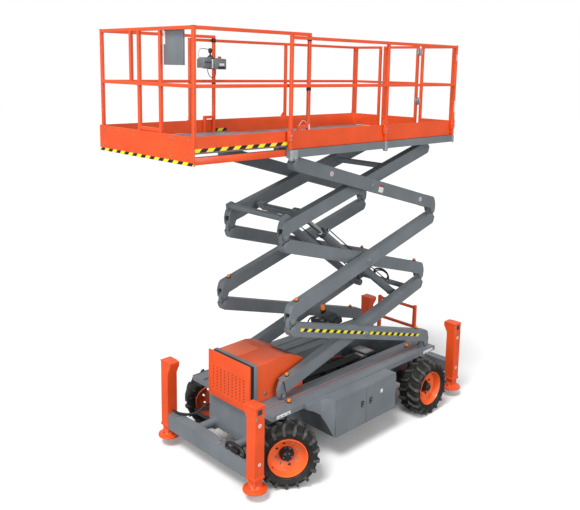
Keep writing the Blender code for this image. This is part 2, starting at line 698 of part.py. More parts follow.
def platform_deck():
    body("platform", pin_at(-1, STAGES), "upper_inner_arms")
    side_in = 0.772
    top_pin = BASE_PIN_Z + STAGES * RISE
    plate_under = DECK_TOP - FLOOR
    pieces = [box((DECK_REAR, DECK_FRONT), (-0.7855, 0.7855), (plate_under, DECK_TOP - TREAD)),
              box((DECK_REAR + 0.045, EXT_REAR - 0.02), (-0.78, 0.78), (plate_under + 0.001, DECK_TOP))]
    for _, side in SIDES:
        pieces.append(box((DECK_REAR, DECK_FRONT), mirrored((side_in, 0.826), side), (3.476, 3.556)))
        pieces.append(box((DECK_REAR, DECK_FRONT), mirrored((side_in, 0.785), side), (3.55, plate_under + 0.002)))
        pieces.append(box((-0.72, 1.19), mirrored((0.53, 0.61), side), (top_pin + FOOT_R + 0.006, plate_under + 0.002)))
        for offset in (-CHEEK_Y, CHEEK_Y):
            pin_x, y = REAR_PIN_X + MID_X, side * INNER_Y + offset
            cheek = [(pin_x + 0.07, plate_under + 0.002), (pin_x - 0.05, plate_under + 0.002)]
            cheek += arc(pin_x, top_pin, LUG_R - 0.002, 180, 360, 9)
            pieces.append(upright(cheek, CHEEK, y))
        pin = at(REAR_PIN_X, side * INNER_Y, top_pin)
        reach = Vector((0, CHEEK_Y, 0))
        pieces.append(rod(pin - reach, pin + reach, PIN_R))
    pieces.append(box((DECK_REAR, DECK_REAR + 0.03), (-side_in - 0.01, side_in + 0.01), (3.52, plate_under + 0.002)))
    node("platform_deck", "platform", "deck", pieces)


def main_toe_boards():
    z = (3.558, TOE_TOP)
    h = 0.003
    for side_name, side in SIDES:
        long_board = box((DECK_REAR + 0.034, DECK_FRONT), mirrored((MAIN_TOE_Y - h, MAIN_TOE_Y + h), side), z)
        end_y = (GATE_Y1 + 0.06, MAIN_TOE_Y) if side > 0 else (-MAIN_TOE_Y, GATE_Y0 - 0.06)
        end_board = box((DECK_REAR + 0.034, DECK_REAR + 0.040), end_y, (DECK_TOP + 0.004, TOE_TOP))
        node(f"toe_board_{side_name}", "platform", "orange_paint", [long_board, end_board])


MAIN_POST_BOTTOM = 3.5565


def main_rails():
    h = POST / 2
    top = MAIN_RAIL_TOP - h
    posts_x = (DECK_FRONT - h, -0.2335, DECK_REAR + h)
    for side_name, side in SIDES:
        y = side * MAIN_POST_Y
        pieces = [post(x, y, (MAIN_POST_BOTTOM, top)) for x in posts_x]
        pieces += [bar_x((DECK_REAR, DECK_FRONT), y, z) for z in (top, MID_RAIL_Z)]
        node(f"side_rail_{side_name}", "platform", "orange_paint", pieces)
    x = DECK_REAR + h
    edge = MAIN_POST_Y - h - 0.0005
    inner = {1: GATE_Y1 + 0.045, -1: GATE_Y0 - 0.045}
    for side_name, side in SIDES:
        span = (inner[1], edge) if side > 0 else (-edge, inner[-1])
        pieces = [bar_y(x, span, z) for z in (top, MID_RAIL_Z)]
        for y in (inner[side] + side * h, side * (edge - h)):
            pieces.append(post(x, y, (DECK_TOP - TREAD + 0.0005, top)))
        node(f"rear_rail_{side_name}", "platform", "orange_paint", pieces)


def entry_gate():
    h = POST / 2
    x = DECK_REAR + h
    top = MAIN_RAIL_TOP - h
    body("entry_gate", at(x, GATE_Y1 + 0.022, MID_RAIL_Z), "platform")
    pieces = [bar_y(x, (GATE_Y0, GATE_Y1), z) for z in (top, MID_RAIL_Z)]
    pieces += [post(x, y, (3.59, top)) for y in (GATE_Y0 + h, GATE_Y1 - h)]
    pieces.append(box((x - 0.003, x + 0.003), (GATE_Y0 + 0.01, GATE_Y1 - 0.01), (3.60, TOE_TOP)))
    node("entry_gate", "entry_gate", "orange_paint", pieces)


def extension():
    body("extension", at(EXT_FRONT, 0, EXT_DECK_TOP), "platform")
    h = POST / 2
    front_in = EXT_FRONT - 0.012
    under = EXT_DECK_TOP - 0.012
    pieces = [box((EXT_REAR, front_in), (-0.773, 0.773), (under, EXT_DECK_TOP - TREAD)),
              box((EXT_REAR + 0.17, front_in - 0.04), (-0.735, 0.735), (under + 0.001, EXT_DECK_TOP))]
    pieces.append(box((front_in - 0.02, front_in), (-0.765, 0.765), (3.488, under + 0.002)))
    for _, side in SIDES:
        pieces.append(box((0.70, front_in), mirrored((0.725, 0.765), side), (3.488, 3.556)))
    node("extension_deck", "extension", "deck", pieces)
    toe_z = (EXT_DECK_TOP + 0.001, TOE_TOP)
    toes = [box((EXT_FRONT - 0.0115, EXT_FRONT), (-0.79, 0.79), (EXT_PANEL_BOTTOM, TOE_TOP))]
    for _, side in SIDES:
        toes.append(box((EXT_REAR, EXT_FRONT - 0.001), mirrored((EXT_TOE_Y - 0.0025, EXT_TOE_Y + 0.0025), side), toe_z))
    node("extension_toe_boards", "extension", "orange_paint", toes)
    top = EXT_RAIL_TOP - h
    bottom = EXT_DECK_TOP - TREAD + 0.0005
    x = EXT_FRONT - 0.012 - h
    front = [bar_y(x, (-EXT_POST_Y - h, EXT_POST_Y + h), z) for z in (top, MID_RAIL_Z)]
    for y in (-EXT_POST_Y, EXT_POST_Y, 0.263, -0.086):
        front.append(post(x, y, (bottom, top)))
    front.append(post(x, -0.224, (MID_RAIL_Z, top)))
    front.append(bar_y(x, (-0.086, 0.263), TOE_TOP + h + 0.005))
    node("extension_front_rail", "extension", "orange_paint", front)
    for side_name, side in SIDES:
        y = side * EXT_POST_Y
        run = (EXT_REAR, x - h - 0.0005)
        pieces = [bar_x(run, y, z) for z in (top, MID_RAIL_Z)]
        pieces.append(post(EXT_REAR + h, y, (bottom, top)))
        pieces.append(bar_x((EXT_REAR, EXT_REAR + 0.16), y, TOE_TOP + 0.03))
        pieces.append(post(EXT_REAR + 0.16 - h, y, (bottom, TOE_TOP + 0.03)))
        node(f"extension_side_rail_{side_name}", "extension", "orange_paint", pieces)
    inside = -EXT_POST_Y + h + 0.001
    node("control_box", "extension", "grey_paint",
         [box((0.87, 1.19), (inside, inside + 0.13), (4.30, 4.435)),
          rod(at(1.05, inside + 0.065, 4.43), at(1.05, inside + 0.065, 4.54), 0.022, 12)])
    node("manual_box", "extension", "grey_paint",
         [box((x - h - 0.026, x - h - 0.001), (0.285, 0.575), (4.345, 4.655))])


# ---------------------------------------------------------------- assembly
body("chassis", at(0, 0, 0))
chassis_frame()
axles()
steering()
wheels()
outriggers()
cabinets()
front_end()
ladder()
scissor()
platform_deck()
main_toe_boards()
main_rails()
entry_gate()
extension()
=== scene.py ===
"""Looks of the rough-terrain scissor lift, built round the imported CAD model.

Metres; +X is the machine's front, +Y its left, +Z up. Each CAD node is either
dressed (its own shape with softened edges and a real material) or replaced by
a detailed piece, and the trim that the CAD leaves out rides on the bodies.
"""

import json
import math

import bmesh
import bpy
from mathutils import Matrix, Vector


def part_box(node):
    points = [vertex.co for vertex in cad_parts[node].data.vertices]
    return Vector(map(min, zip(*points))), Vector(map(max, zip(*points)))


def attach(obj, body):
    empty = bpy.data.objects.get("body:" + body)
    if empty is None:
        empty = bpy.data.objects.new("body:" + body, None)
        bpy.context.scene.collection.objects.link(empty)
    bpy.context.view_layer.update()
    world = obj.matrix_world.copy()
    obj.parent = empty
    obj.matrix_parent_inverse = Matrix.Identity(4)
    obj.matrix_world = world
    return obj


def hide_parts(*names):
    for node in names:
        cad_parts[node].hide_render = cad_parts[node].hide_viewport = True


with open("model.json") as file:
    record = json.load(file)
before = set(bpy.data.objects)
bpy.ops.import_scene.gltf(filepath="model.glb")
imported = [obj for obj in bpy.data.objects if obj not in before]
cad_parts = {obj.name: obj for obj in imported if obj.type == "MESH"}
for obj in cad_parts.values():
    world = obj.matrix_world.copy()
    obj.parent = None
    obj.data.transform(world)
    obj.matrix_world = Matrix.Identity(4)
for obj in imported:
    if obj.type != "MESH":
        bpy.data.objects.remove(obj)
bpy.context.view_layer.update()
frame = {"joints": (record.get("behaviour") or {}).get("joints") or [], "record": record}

# ------------------------------------------------------------------ driving sizes
SIDES = (("left", 1), ("right", -1))
ENDS = (("front", 1), ("rear", -1))
WHEELS = [f"{end}_{side}" for end, _ in ENDS for side, _ in SIDES]
JOINTS = {joint["name"]: joint for joint in frame["joints"]}

ORANGE = (0.83, 0.085, 0.012)
GREY = (0.168, 0.190, 0.208)
DARK_GREY = (0.035, 0.038, 0.042)
CAMERA_PLACE = (5.872, 5.762, 4.351)
CAMERA_TURN = (math.radians(90 - 9.525), math.radians(1.131), math.radians(135.17))
CAMERA_LENS = 44.47
CAMERA_SHIFT = (-0.0156, -0.1173)

MID_X = -0.149             # the machine's datum, from which the lengths below run
BEAM_TOP = 0.762
BEAM_OUTER_Y = 0.69
BEAM_FRONT_X = 1.30 + MID_X
BEAM_REAR_X = -1.60 + MID_X
DECK_TOP = 3.578
TOE_TOP = 3.737
MAIN_POST_Y = 0.8105
MID_POST_X = -0.2335 + MID_X
EXT_POST_Y = 0.757
RAIL = 0.032
MID_RAIL_Z = 4.17
CHANNEL_Y = 0.826          # outer face of the deck's side channel
CHANNEL_Z = (3.468, 3.552)
DECK_HALF_Y = 0.78
EXT_DECK_HALF_Y = 0.768
CROSS_BEAM_X = 1.5885 + MID_X
LEG_HALF = 0.065
GUARD_SHEET = 0.003
TREAD_DEPTH = 0.030
LUGS = 17
RED_LINE_Y = 0.522

ARM_TILT = math.radians(15.9)
ARM_HALF = 1.3003          # along the tube, from the centre pivot to an end pin
ARM_RISE = math.radians(4.0)
ARM_HEIGHT = 0.146
OUTER_Y = 0.57
INNER_Y = 0.442
OUTER_FACE_Y = 0.62
INNER_FACE_Y = 0.492
LINES_Y = 0.378            # hydraulic lines on the inner arms
CYLINDER_Y = 0.28
BARREL = 1.68

WORLD_LIGHT = 0.50
SUN_LIGHT = 2.3
SUN_FROM = (5.0, 1.5, 9.0)
SUN_WIDTH = math.radians(22)
LIGHT_TARGET = (0, 0, 1.8)
FLOOR_HALF = 60
TURN_TO_X = Matrix.Rotation(math.pi / 2, 4, "Y")


def low(node):
    return Vector(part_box(node)[0])


def high(node):
    return Vector(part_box(node)[1])


def middle(node):
    return (low(node) + high(node)) / 2


def joint_at(name):
    """Where a joint of the record sits."""
    return Vector(JOINTS[name]["pos_m"])


def around(centre, half):
    """The span that reaches half either way from a centre."""
    return centre - half, centre + half


def skin(face, side, inward, outward):
    """The span through a face that looks along side: a depth inward and one outward."""
    return sorted((face - side * inward, face + side * outward))


def add_object(name, data):
    piece = bpy.data.objects.new(name, data)
    bpy.context.scene.collection.objects.link(piece)
    return piece


# ------------------------------------------------------------------ materials
class Nodes:
    """A short way to write a node tree."""

    def __init__(self, name):
        self.material = bpy.data.materials.new(name)
        self.material.use_nodes = True
        self.tree = self.material.node_tree
        self.shader = self.tree.nodes["Principled BSDF"]

    def add(self, kind, **values):
        node = self.tree.nodes.new(kind)
        for key, value in values.items():
            if key in node.inputs:
                node.inputs[key].default_value = value
            else:
                setattr(node, key, value)
        return node

    def link(self, source, target):
        self.tree.links.new(source, target)

    def place(self, scale=1.0):
        """Object coordinates, stretched."""
        mapping = self.add("ShaderNodeMapping")
        mapping.inputs["Scale"].default_value = (scale, scale, scale)
        self.link(self.add("ShaderNodeTexCoord").outputs["Object"], mapping.inputs["Vector"])
        return mapping.outputs["Vector"]

    def noise(self, scale, detail=3.0):
        noise = self.add("ShaderNodeTexNoise", Scale=scale, Detail=detail)
        self.link(self.place(), noise.inputs["Vector"])
        return noise.outputs["Fac"]

    def ramp(self, source, stops):
        ramp = self.add("ShaderNodeValToRGB")
        while len(ramp.color_ramp.elements) < len(stops):
            ramp.color_ramp.elements.new(0.5)
        for element, (position, colour) in zip(ramp.color_ramp.elements, stops):
            element.position = position
            element.color = (*colour, 1.0)
        self.link(source, ramp.inputs["Fac"])
        return ramp.outputs["Color"]

    def range(self, source, low_out, high_out):
        scale = self.add("ShaderNodeMapRange")
        scale.inputs["From Min"].default_value = 0.3
        scale.inputs["From Max"].default_value = 0.7
        scale.inputs["To Min"].default_value = low_out
        scale.inputs["To Max"].default_value = high_out
        self.link(source, scale.inputs["Value"])
        return scale.outputs["Result"]

    def bump(self, source, strength, distance=0.001):
        bump = self.add("ShaderNodeBump", Strength=strength, Distance=distance)
        self.link(source, bump.inputs["Height"])
        self.link(bump.outputs["Normal"], self.shader.inputs["Normal"])

    def set(self, **values):
        for key, value in values.items():
            self.shader.inputs[key.replace("_", " ")].default_value = value


def scaled(colour, factor):
    return tuple(min(1.0, c * factor) for c in colour)


def paint(name, colour, roughness, mottle=0.10, coat=0.25):
    """Sprayed machine paint: faint mottling, orange peel and dulled patches."""
    n = Nodes(name)
    stops = [(0.30, scaled(colour, 1 - mottle)), (0.55, colour), (0.75, scaled(colour, 1 + mottle))]
    n.link(n.ramp(n.noise(3.5, 6.0), stops), n.shader.inputs["Base Color"])
    n.link(n.range(n.noise(9.0, 5.0), roughness - 0.05, roughness + 0.09), n.shader.inputs["Roughness"])
    n.bump(n.noise(420.0, 2.0), 0.10, 0.0006)
    n.set(Coat_Weight=coat, Coat_Roughness=0.22)
    return n.material


def metal(name, colour, roughness, brushed=60.0):
    """Bare or plated metal with faint patches."""
    n = Nodes(name)
    stops = [(0.35, scaled(colour, 0.82)), (0.65, colour)]
    n.link(n.ramp(n.noise(30.0, 5.0), stops), n.shader.inputs["Base Color"])
    n.link(n.range(n.noise(brushed, 4.0), roughness - 0.06, roughness + 0.10), n.shader.inputs["Roughness"])
    n.set(Metallic=1.0)
    n.bump(n.noise(brushed * 8, 2.0), 0.06, 0.0005)
    return n.material


def rubber(name, shades):
    """Rubber that goes from black to a dusty grey."""
    n = Nodes(name)
    stops = [(place, (shade, shade * 0.96, shade * 0.90)) for place, shade in zip((0.30, 0.52, 0.75),
                                                                                  shades)]
    n.link(n.ramp(n.noise(14.0, 8.0), stops), n.shader.inputs["Base Color"])
    n.link(n.range(n.noise(22.0, 6.0), 0.55, 0.85), n.shader.inputs["Roughness"])
    n.bump(n.noise(170.0, 4.0), 0.25, 0.001)
    return n.material


def plastic(name, colour, roughness):
    """Moulded plastic or a smooth rubber cover."""
    n = Nodes(name)
    stops = [(0.35, scaled(colour, 0.9)), (0.65, scaled(colour, 1.08))]
    n.link(n.ramp(n.noise(18.0, 4.0), stops), n.shader.inputs["Base Color"])
    n.link(n.range(n.noise(40.0, 3.0), roughness - 0.04, roughness + 0.08), n.shader.inputs["Roughness"])
    n.bump(n.noise(260.0, 2.0), 0.12, 0.0006)
    return n.material


def hazard(name, direction):
    """Slanted black and yellow stripes in the object's own coordinates."""
    n = Nodes(name)
    dot = n.add("ShaderNodeVectorMath", operation="DOT_PRODUCT")
    n.link(n.place(), dot.inputs[0])
    dot.inputs[1].default_value = direction
    wrap = n.add("ShaderNodeMath", operation="FRACT")
    n.link(dot.outputs["Value"], wrap.inputs[0])
    ramp = n.add("ShaderNodeValToRGB")
    ramp.color_ramp.interpolation = "CONSTANT"
    first, second = ramp.color_ramp.elements
    first.color = (0.012, 0.012, 0.012, 1)
    second.color = (0.90, 0.78, 0.03, 1)
    second.position = 0.5
    n.link(wrap.outputs[0], ramp.inputs["Fac"])
    n.link(ramp.outputs["Color"], n.shader.inputs["Base Color"])
    n.link(n.range(n.noise(30.0), 0.32, 0.45), n.shader.inputs["Roughness"])
    return n.material


def tread_plate():
    """Deck plate with a raised diamond pattern."""
    n = Nodes("deck_plate")
    stops = [(0.35, (0.20, 0.205, 0.21)), (0.65, (0.34, 0.345, 0.35))]
    n.link(n.ramp(n.noise(6.0, 6.0), stops), n.shader.inputs["Base Color"])
    n.link(n.range(n.noise(16.0, 5.0), 0.38, 0.6), n.shader.inputs["Roughness"])
    n.set(Metallic=0.35)
    brick = n.add("ShaderNodeTexVoronoi", Scale=38.0)
    n.link(n.place(), brick.inputs["Vector"])
    n.bump(brick.outputs["Distance"], 0.35, 0.003)
    return n.material


MATERIALS = {
    "orange": paint("orange_enamel", ORANGE, 0.36),
    "rim": paint("rim_enamel", (0.90, 0.15, 0.035), 0.34),
    "light_grey": paint("bracket_grey", (0.30, 0.33, 0.35), 0.42),
    "hood": paint("cover_enamel", (0.80, 0.10, 0.02), 0.40),
    # a lighter copy of the cover's paint, used as a painted highlight on the cover's top
    "hood_painted_highlight": paint("cover_top_painted_highlight", (0.86, 0.17, 0.07), 0.45),
    "grey": paint("grey_enamel", GREY, 0.40, 0.12),
    "dark": paint("dark_enamel", DARK_GREY, 0.45, 0.2, 0.1),
    "black": plastic("black_plastic", (0.014, 0.014, 0.015), 0.42),
    "hose": plastic("hose_rubber", (0.012, 0.012, 0.013), 0.55),
    "white": plastic("label_white", (0.80, 0.80, 0.80), 0.35),
    "red": plastic("line_red", (0.55, 0.03, 0.03), 0.40),
    "amber": plastic("sensor_amber", (0.90, 0.22, 0.02), 0.30),
    "rubber": rubber("sidewall_rubber", (0.006, 0.011, 0.022)),
    "tread": rubber("tread_rubber", (0.020, 0.060, 0.120)),
    "chrome": metal("chrome_plate", (0.72, 0.72, 0.74), 0.14),
    "zinc": metal("zinc_plate", (0.55, 0.56, 0.58), 0.34),
    "deck": tread_plate(),
    "hazard_x": hazard("hazard_stripes_side", (6.7, 0.0, 6.7)),
    "hazard_y": hazard("hazard_stripes_front", (0.0, 6.8, -6.8)),
    "hazard_arm": hazard("hazard_stripes_arm", (6.2, 0.0, 8.0)),
}


class Build:
    """Collects simple solids into one mesh with several materials."""

    def __init__(self):
        self.bm = bmesh.new()
        self.materials = []
        self.slot = None

    def use(self, material):
        if material not in self.materials:
            self.materials.append(material)
        return self.materials.index(material)

    def take(self, part, material, matrix=None):
        """Adds another bmesh, moved by a matrix, in one material."""
        index = self.use(material)
        if matrix is not None:
            part.transform(matrix)
        for face in part.faces:
            face.material_index = index
        mesh = bpy.data.meshes.new("part")
        part.to_mesh(mesh)
        part.free()
        self.bm.from_mesh(mesh)
        bpy.data.meshes.remove(mesh)

    def box(self, material, x, y, z, bevel=0.0, matrix=None):
        part = bmesh.new()
        bmesh.ops.create_cube(part, size=1.0)
        size = Vector((x[1] - x[0], y[1] - y[0], z[1] - z[0]))
        centre = Vector((sum(x), sum(y), sum(z))) / 2
        part.transform(Matrix.Translation(centre) @ Matrix.Diagonal((*size, 1)))
        if bevel:
            bmesh.ops.bevel(part, geom=part.edges[:], offset=min(bevel, min(size) * 0.45), segments=2,
                            affect="EDGES", profile=0.5)
        self.take(part, material, matrix)

    def rod(self, material, start, end, radius, sides=20, end_radius=None, bevel=0.0, matrix=None):
        start, end = Vector(start), Vector(end)
        axis = end - start
        part = bmesh.new()
        bmesh.ops.create_cone(part, cap_ends=True, segments=sides, radius1=radius, depth=axis.length,
                              radius2=radius if end_radius is None else end_radius)
        if bevel:
            rims = [e for e in part.edges if abs(e.verts[0].co.z - e.verts[1].co.z) < 1e-6]
            bmesh.ops.bevel(part, geom=rims, offset=bevel, segments=2, affect="EDGES", profile=0.5)
        turn = Vector((0, 0, 1)).rotation_difference(axis.normalized()).to_matrix().to_4x4()
        part.transform(Matrix.Translation((start + end) / 2) @ turn)
        self.take(part, material, matrix)

    def disc(self, material, x, face, z, side, inward, outward, radius, sides, **options):
        """A short rod through a side face, from a depth inward to one outward."""
        start, end = (x, face - side * inward, z), (x, face + side * outward, z)
        self.rod(material, start, end, radius, sides, **options)

    def prism(self, material, points, start, end, axis="Y", bevel=0.0, matrix=None):
        """A flat outline (in XZ, XY or YZ) pushed from start to end along an axis."""
        part = bmesh.new()
        order = {"Y": lambda p, d: (p[0], d, p[1]), "Z": lambda p, d: (p[0], p[1], d), "X": lambda p,
                 d: (d, p[0], p[1])}
        near = [part.verts.new(order[axis](p, start)) for p in points]
        far = [part.verts.new(order[axis](p, end)) for p in points]
        part.faces.new(near)
        part.faces.new(list(reversed(far)))
        for i in range(len(points)):
            j = (i + 1) % len(points)
            part.faces.new((near[j], near[i], far[i], far[j]))
        bmesh.ops.recalc_face_normals(part, faces=part.faces)
        if bevel:
            bmesh.ops.bevel(part, geom=part.edges[:], offset=bevel, segments=2, affect="EDGES", profile=0.5)
        self.take(part, material, matrix)

    def lathe(self, material, profile, matrix, sides=48, closed=True):
        """(radius, along) points turned about Z, then placed by a matrix."""
        part = bmesh.new()
        rings = []
        for radius, along in profile:
            count = sides if radius > 1e-6 else 1
            rings.append([part.verts.new((radius * math.cos(2 * math.pi * i / sides),
                                          radius * math.sin(2 * math.pi * i / sides),
                                          along)) for i in range(count)])
        last = len(rings) if closed else len(rings) - 1
        for k in range(last):
            ring, after = rings[k], rings[(k + 1) % len(rings)]
            for i in range(sides):
                corners = []
                for source, index in ((ring, i), (ring, i + 1), (after, i + 1), (after, i)):
                    corner = source[index % len(source)]
                    if corner not in corners:
                        corners.append(corner)
                if len(corners) > 2:
                    part.faces.new(corners)
        bmesh.ops.recalc_face_normals(part, faces=part.faces)
        self.take(part, material, matrix)

    def tube(self, material, path, radius, sides=10):
        """A round tube along a path of points, with closed ends."""
        points = smooth_path([Vector(p) for p in path])
        part = bmesh.new()
        rings = []
        normal = Vector((0.13, 0.31, 0.94))
        for i, point in enumerate(points):
            ahead = points[min(i + 1, len(points) - 1)] - points[max(i - 1, 0)]
            ahead.normalize()
            normal = (normal - ahead * normal.dot(ahead)).normalized()
            across = ahead.cross(normal)
            ring = []
            for k in range(sides):
                turn = 2 * math.pi * k / sides
                outward = math.cos(turn) * normal + math.sin(turn) * across
                ring.append(part.verts.new(point + radius * outward))
            rings.append(ring)
        for a, b in zip(rings, rings[1:]):
            for k in range(sides):
                part.faces.new((a[k], a[(k + 1) % sides], b[(k + 1) % sides], b[k]))
        part.faces.new(rings[0])
        part.faces.new(list(reversed(rings[-1])))
        bmesh.ops.recalc_face_normals(part, faces=part.faces)
        self.take(part, material)

    def as_object(self, name):
        mesh = bpy.data.meshes.new(name)
        self.bm.to_mesh(mesh)
        self.bm.free()
        for material in self.materials:
            mesh.materials.append(MATERIALS[material])
        return add_object(name, mesh)

    def finish(self, name, body, material_slot=None, angle=35.0, replaces=()):
        """Makes the piece, rides it on a body and hides the CAD nodes it replaces; material_slot is not
        used.
        """
        piece = self.as_object(name)
        piece.data.shade_smooth()
        piece.data.set_sharp_from_angle(angle=math.radians(angle))
        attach(piece, body)
        if replaces:
            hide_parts(*replaces)
        return piece


def smooth_path(points, steps=6):
    """Points on a smooth curve through the given ones."""
    if len(points) < 3:
        return points
    out = []
    for i in range(len(points) - 1):
        p0 = points[max(i - 1, 0)]
        p1, p2 = points[i], points[i + 1]
        p3 = points[min(i + 2, len(points) - 1)]
        for k in range(steps):
            t = k / steps
            out.append(0.5 * ((2 * p1) + (p2 - p0) * t + (2 * p0 - 5 * p1 + 4 * p2 - p3) * t * t
                              + (3 * p1 - p0 - 3 * p2 + p3) * t ** 3))
    out.append(points[-1])
    return out


def body_holding(node):
    """The body that a CAD node belongs to."""
    for name, nodes in frame["record"]["behaviour"]["bodies"].items():
        if node in nodes:
            return name
    return None


def dress(node, material, bevel=0.003, segments=2, angle=35.0):
    """A copy of a CAD node with flat faces joined and its edges softened."""
    source = bpy.data.objects[node]
    bm = bmesh.new()
    bm.from_mesh(source.data)
    bm.transform(source.matrix_world)
    bmesh.ops.remove_doubles(bm, verts=bm.verts, dist=0.00002)
    bmesh.ops.dissolve_limit(bm, angle_limit=math.radians(0.6), verts=bm.verts, edges=bm.edges)
    mesh = bpy.data.meshes.new(node + "_look")
    bm.to_mesh(mesh)
    bm.free()
    mesh.materials.append(MATERIALS[material])
    piece = add_object(node + "_look", mesh)
    if bevel:
        soften = piece.modifiers.new("edges", "BEVEL")
        soften.width = bevel
        soften.segments = segments
        soften.limit_method = "ANGLE"
        soften.angle_limit = math.radians(30)
        soften.use_clamp_overlap = True
        soften.harden_normals = False
    mesh.shade_smooth()
    mesh.set_sharp_from_angle(angle=math.radians(angle))
    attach(piece, body_holding(node))
    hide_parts(node)
    return piece


def bolt(build, place, axis, radius=0.011, height=0.008, material="zinc"):
    """A hexagon head with a washer, standing on a face."""
    place, axis = Vector(place), Vector(axis).normalized()
    build.rod(material, place - axis * 0.001, place + axis * 0.002, radius * 1.35, 20)
    build.rod(material, place, place + axis * height, radius, 6, bevel=0.001)


# ------------------------------------------------------------------ wheels
def wheel_frame(name):
    """The wheel's own frame: Z along its axle, outboard, from the tyre's middle."""
    joint = JOINTS[f"wheel_{name}"]
    side = 1 if name.endswith("left") else -1
    axle = Vector(joint["axis"]).normalized() * side
    turn = Vector((0, 0, 1)).rotation_difference(axle).to_matrix().to_4x4()
    return Matrix.Translation(middle(f"tyre_{name}")) @ turn


def tyre_radius(name):
    return (high(f"tyre_{name}").z - low(f"tyre_{name}").z) / 2


def lug(part, radius, half_width, turn, side):
    """One slanted tread bar, from near the centre line round the shoulder."""
    depth = TREAD_DEPTH
    step = 2 * math.pi / LUGS
    rows = []
    for along, width, thick, top in ((-0.012, 0.08, 0.20, 0.0), (0.38, 0.16, 0.21, 0.0),
                                     (0.70, 0.62, 0.24, 0.0), (0.80, 0.98, 0.27, 0.012),
                                     (0.82, 1.0, 0.27, 0.045)):
        rows.append((turn + step * along * 0.55, side * half_width * width, step * thick, top))
    rings = []
    for angle, across, thick, drop in rows:
        ring = []
        for lift, spread in ((-0.006, 0.62), (depth, 0.44)):
            r = radius - depth + lift - drop
            for sign in (-1, 1):
                a = angle + sign * thick * spread
                ring.append(part.verts.new((r * math.cos(a), r * math.sin(a), across)))
        rings.append([ring[0], ring[1], ring[3], ring[2]])
    for a, b in zip(rings, rings[1:]):
        for k in range(4):
            part.faces.new((a[k], a[(k + 1) % 4], b[(k + 1) % 4], b[k]))
    part.faces.new(rings[0])
    part.faces.new(list(reversed(rings[-1])))


def tyre(name):
    """Carcass with bead rings, and two rows of slanted lugs."""
    radius, half = tyre_radius(name), 0.15
    bead = 0.2155
    carcass = radius - TREAD_DEPTH
    build = Build()
    right = [(bead, 0.098), (bead + 0.010, 0.118), (bead + 0.022, 0.128), (bead + 0.030, 0.126),
             (bead + 0.055, 0.141), (bead + 0.075, 0.143), (carcass - 0.012, 0.138),
             (carcass - 0.003, 0.128), (carcass, 0.105)]
    profile = right + [(carcass + 0.002, 0.0)] + [(r, -w) for r, w in reversed(right)]
    profile += [(bead + 0.012, -0.06), (bead + 0.012, 0.06)]
    build.lathe("rubber", profile, wheel_frame(name), 64)
    part = bmesh.new()
    for i in range(LUGS):
        for side, start in ((1, 0.0), (-1, 0.5)):
            lug(part, radius, half * 0.985, 2 * math.pi * (i + start) / LUGS, side)
    bmesh.ops.recalc_face_normals(part, faces=part.faces)
    bmesh.ops.bevel(part, geom=part.edges[:], offset=0.0025, segments=1, affect="EDGES")
    build.take(part, "tread", wheel_frame(name))
    for offset in (0.040, 0.048):
        ring = [(bead + offset, 0.1335), (bead + offset + 0.002, 0.1375), (bead + offset + 0.004, 0.1335)]
        build.lathe("rubber", ring, wheel_frame(name), 64)
    build.finish(f"tyre_look_{name}", f"wheel_{name}", "tyre", 40, [f"tyre_{name}"])


def rim(name):
    """Dished steel rim with vent holes, studs and a black hub."""
    place = wheel_frame(name)
    edge = 0.2145
    build = Build()
    profile = [(edge, 0.118), (edge - 0.003, 0.124), (edge - 0.008, 0.124), (edge - 0.011, 0.117),
               (edge - 0.013, 0.105), (edge - 0.024, 0.070), (edge - 0.030, 0.040), (edge - 0.050, 0.031),
               (0.140, 0.030), (0.105, 0.008), (0.085, 0.004), (0.050, 0.004), (0.050, -0.006),
               (0.104, -0.004), (0.138, 0.019), (edge - 0.046, 0.020), (edge - 0.020, 0.010),
               (edge - 0.012, -0.10), (edge - 0.008, -0.124), (edge, -0.118), (edge - 0.001, -0.105),
               (edge - 0.010, -0.03), (edge - 0.010, 0.05), (edge - 0.001, 0.105)]
    build.lathe("rim", profile, place, 64)
    piece = build.finish(f"rim_look_{name}", f"wheel_{name}", "orange_paint", 30, [f"rim_{name}"])
    cutter = Build()
    for i in range(8):
        angle = 2 * math.pi * (i + 0.5) / 8
        spot = Vector((0.122 * math.cos(angle), 0.122 * math.sin(angle), 0))
        cutter.rod("orange", spot - Vector((0, 0, 0.06)), spot + Vector((0, 0, 0.08)), 0.0150, 20,
                   matrix=place)
    cut_with(piece, cutter.as_object("rim_cutter"))
    hub_and_studs(name, place, edge)


def hub_and_studs(name, place, edge):
    """Black hub with its ring of nuts and cover screws, and the tyre's valve."""
    outward = place.to_3x3() @ Vector((0, 0, 1))
    hub = Build()
    hub.lathe("black", [(0.0, 0.0), (0.078, 0.0), (0.078, 0.020), (0.066, 0.026), (0.058, 0.030),
                        (0.054, 0.085), (0.050, 0.092), (0.034, 0.095), (0.030, 0.104), (0.0, 0.105)],
                        place, 36, closed=False)
    for i in range(8):
        angle = 2 * math.pi * i / 8
        spot = place @ Vector((0.066 * math.cos(angle), 0.066 * math.sin(angle), 0.024))
        bolt(hub, spot, outward, 0.0095, 0.016, "black")
    for i in range(6):
        angle = 2 * math.pi * (i + 0.5) / 6
        spot = place @ Vector((0.042 * math.cos(angle), 0.042 * math.sin(angle), 0.0925))
        bolt(hub, spot, outward, 0.0055, 0.005, "zinc")
    valve = place @ Vector((edge - 0.022, 0.0, 0.055))
    hub.rod("black", valve, place @ Vector((edge - 0.030, 0, 0.095)), 0.004, 10)
    hub.finish(f"hub_{name}", f"wheel_{name}", "dark_paint")


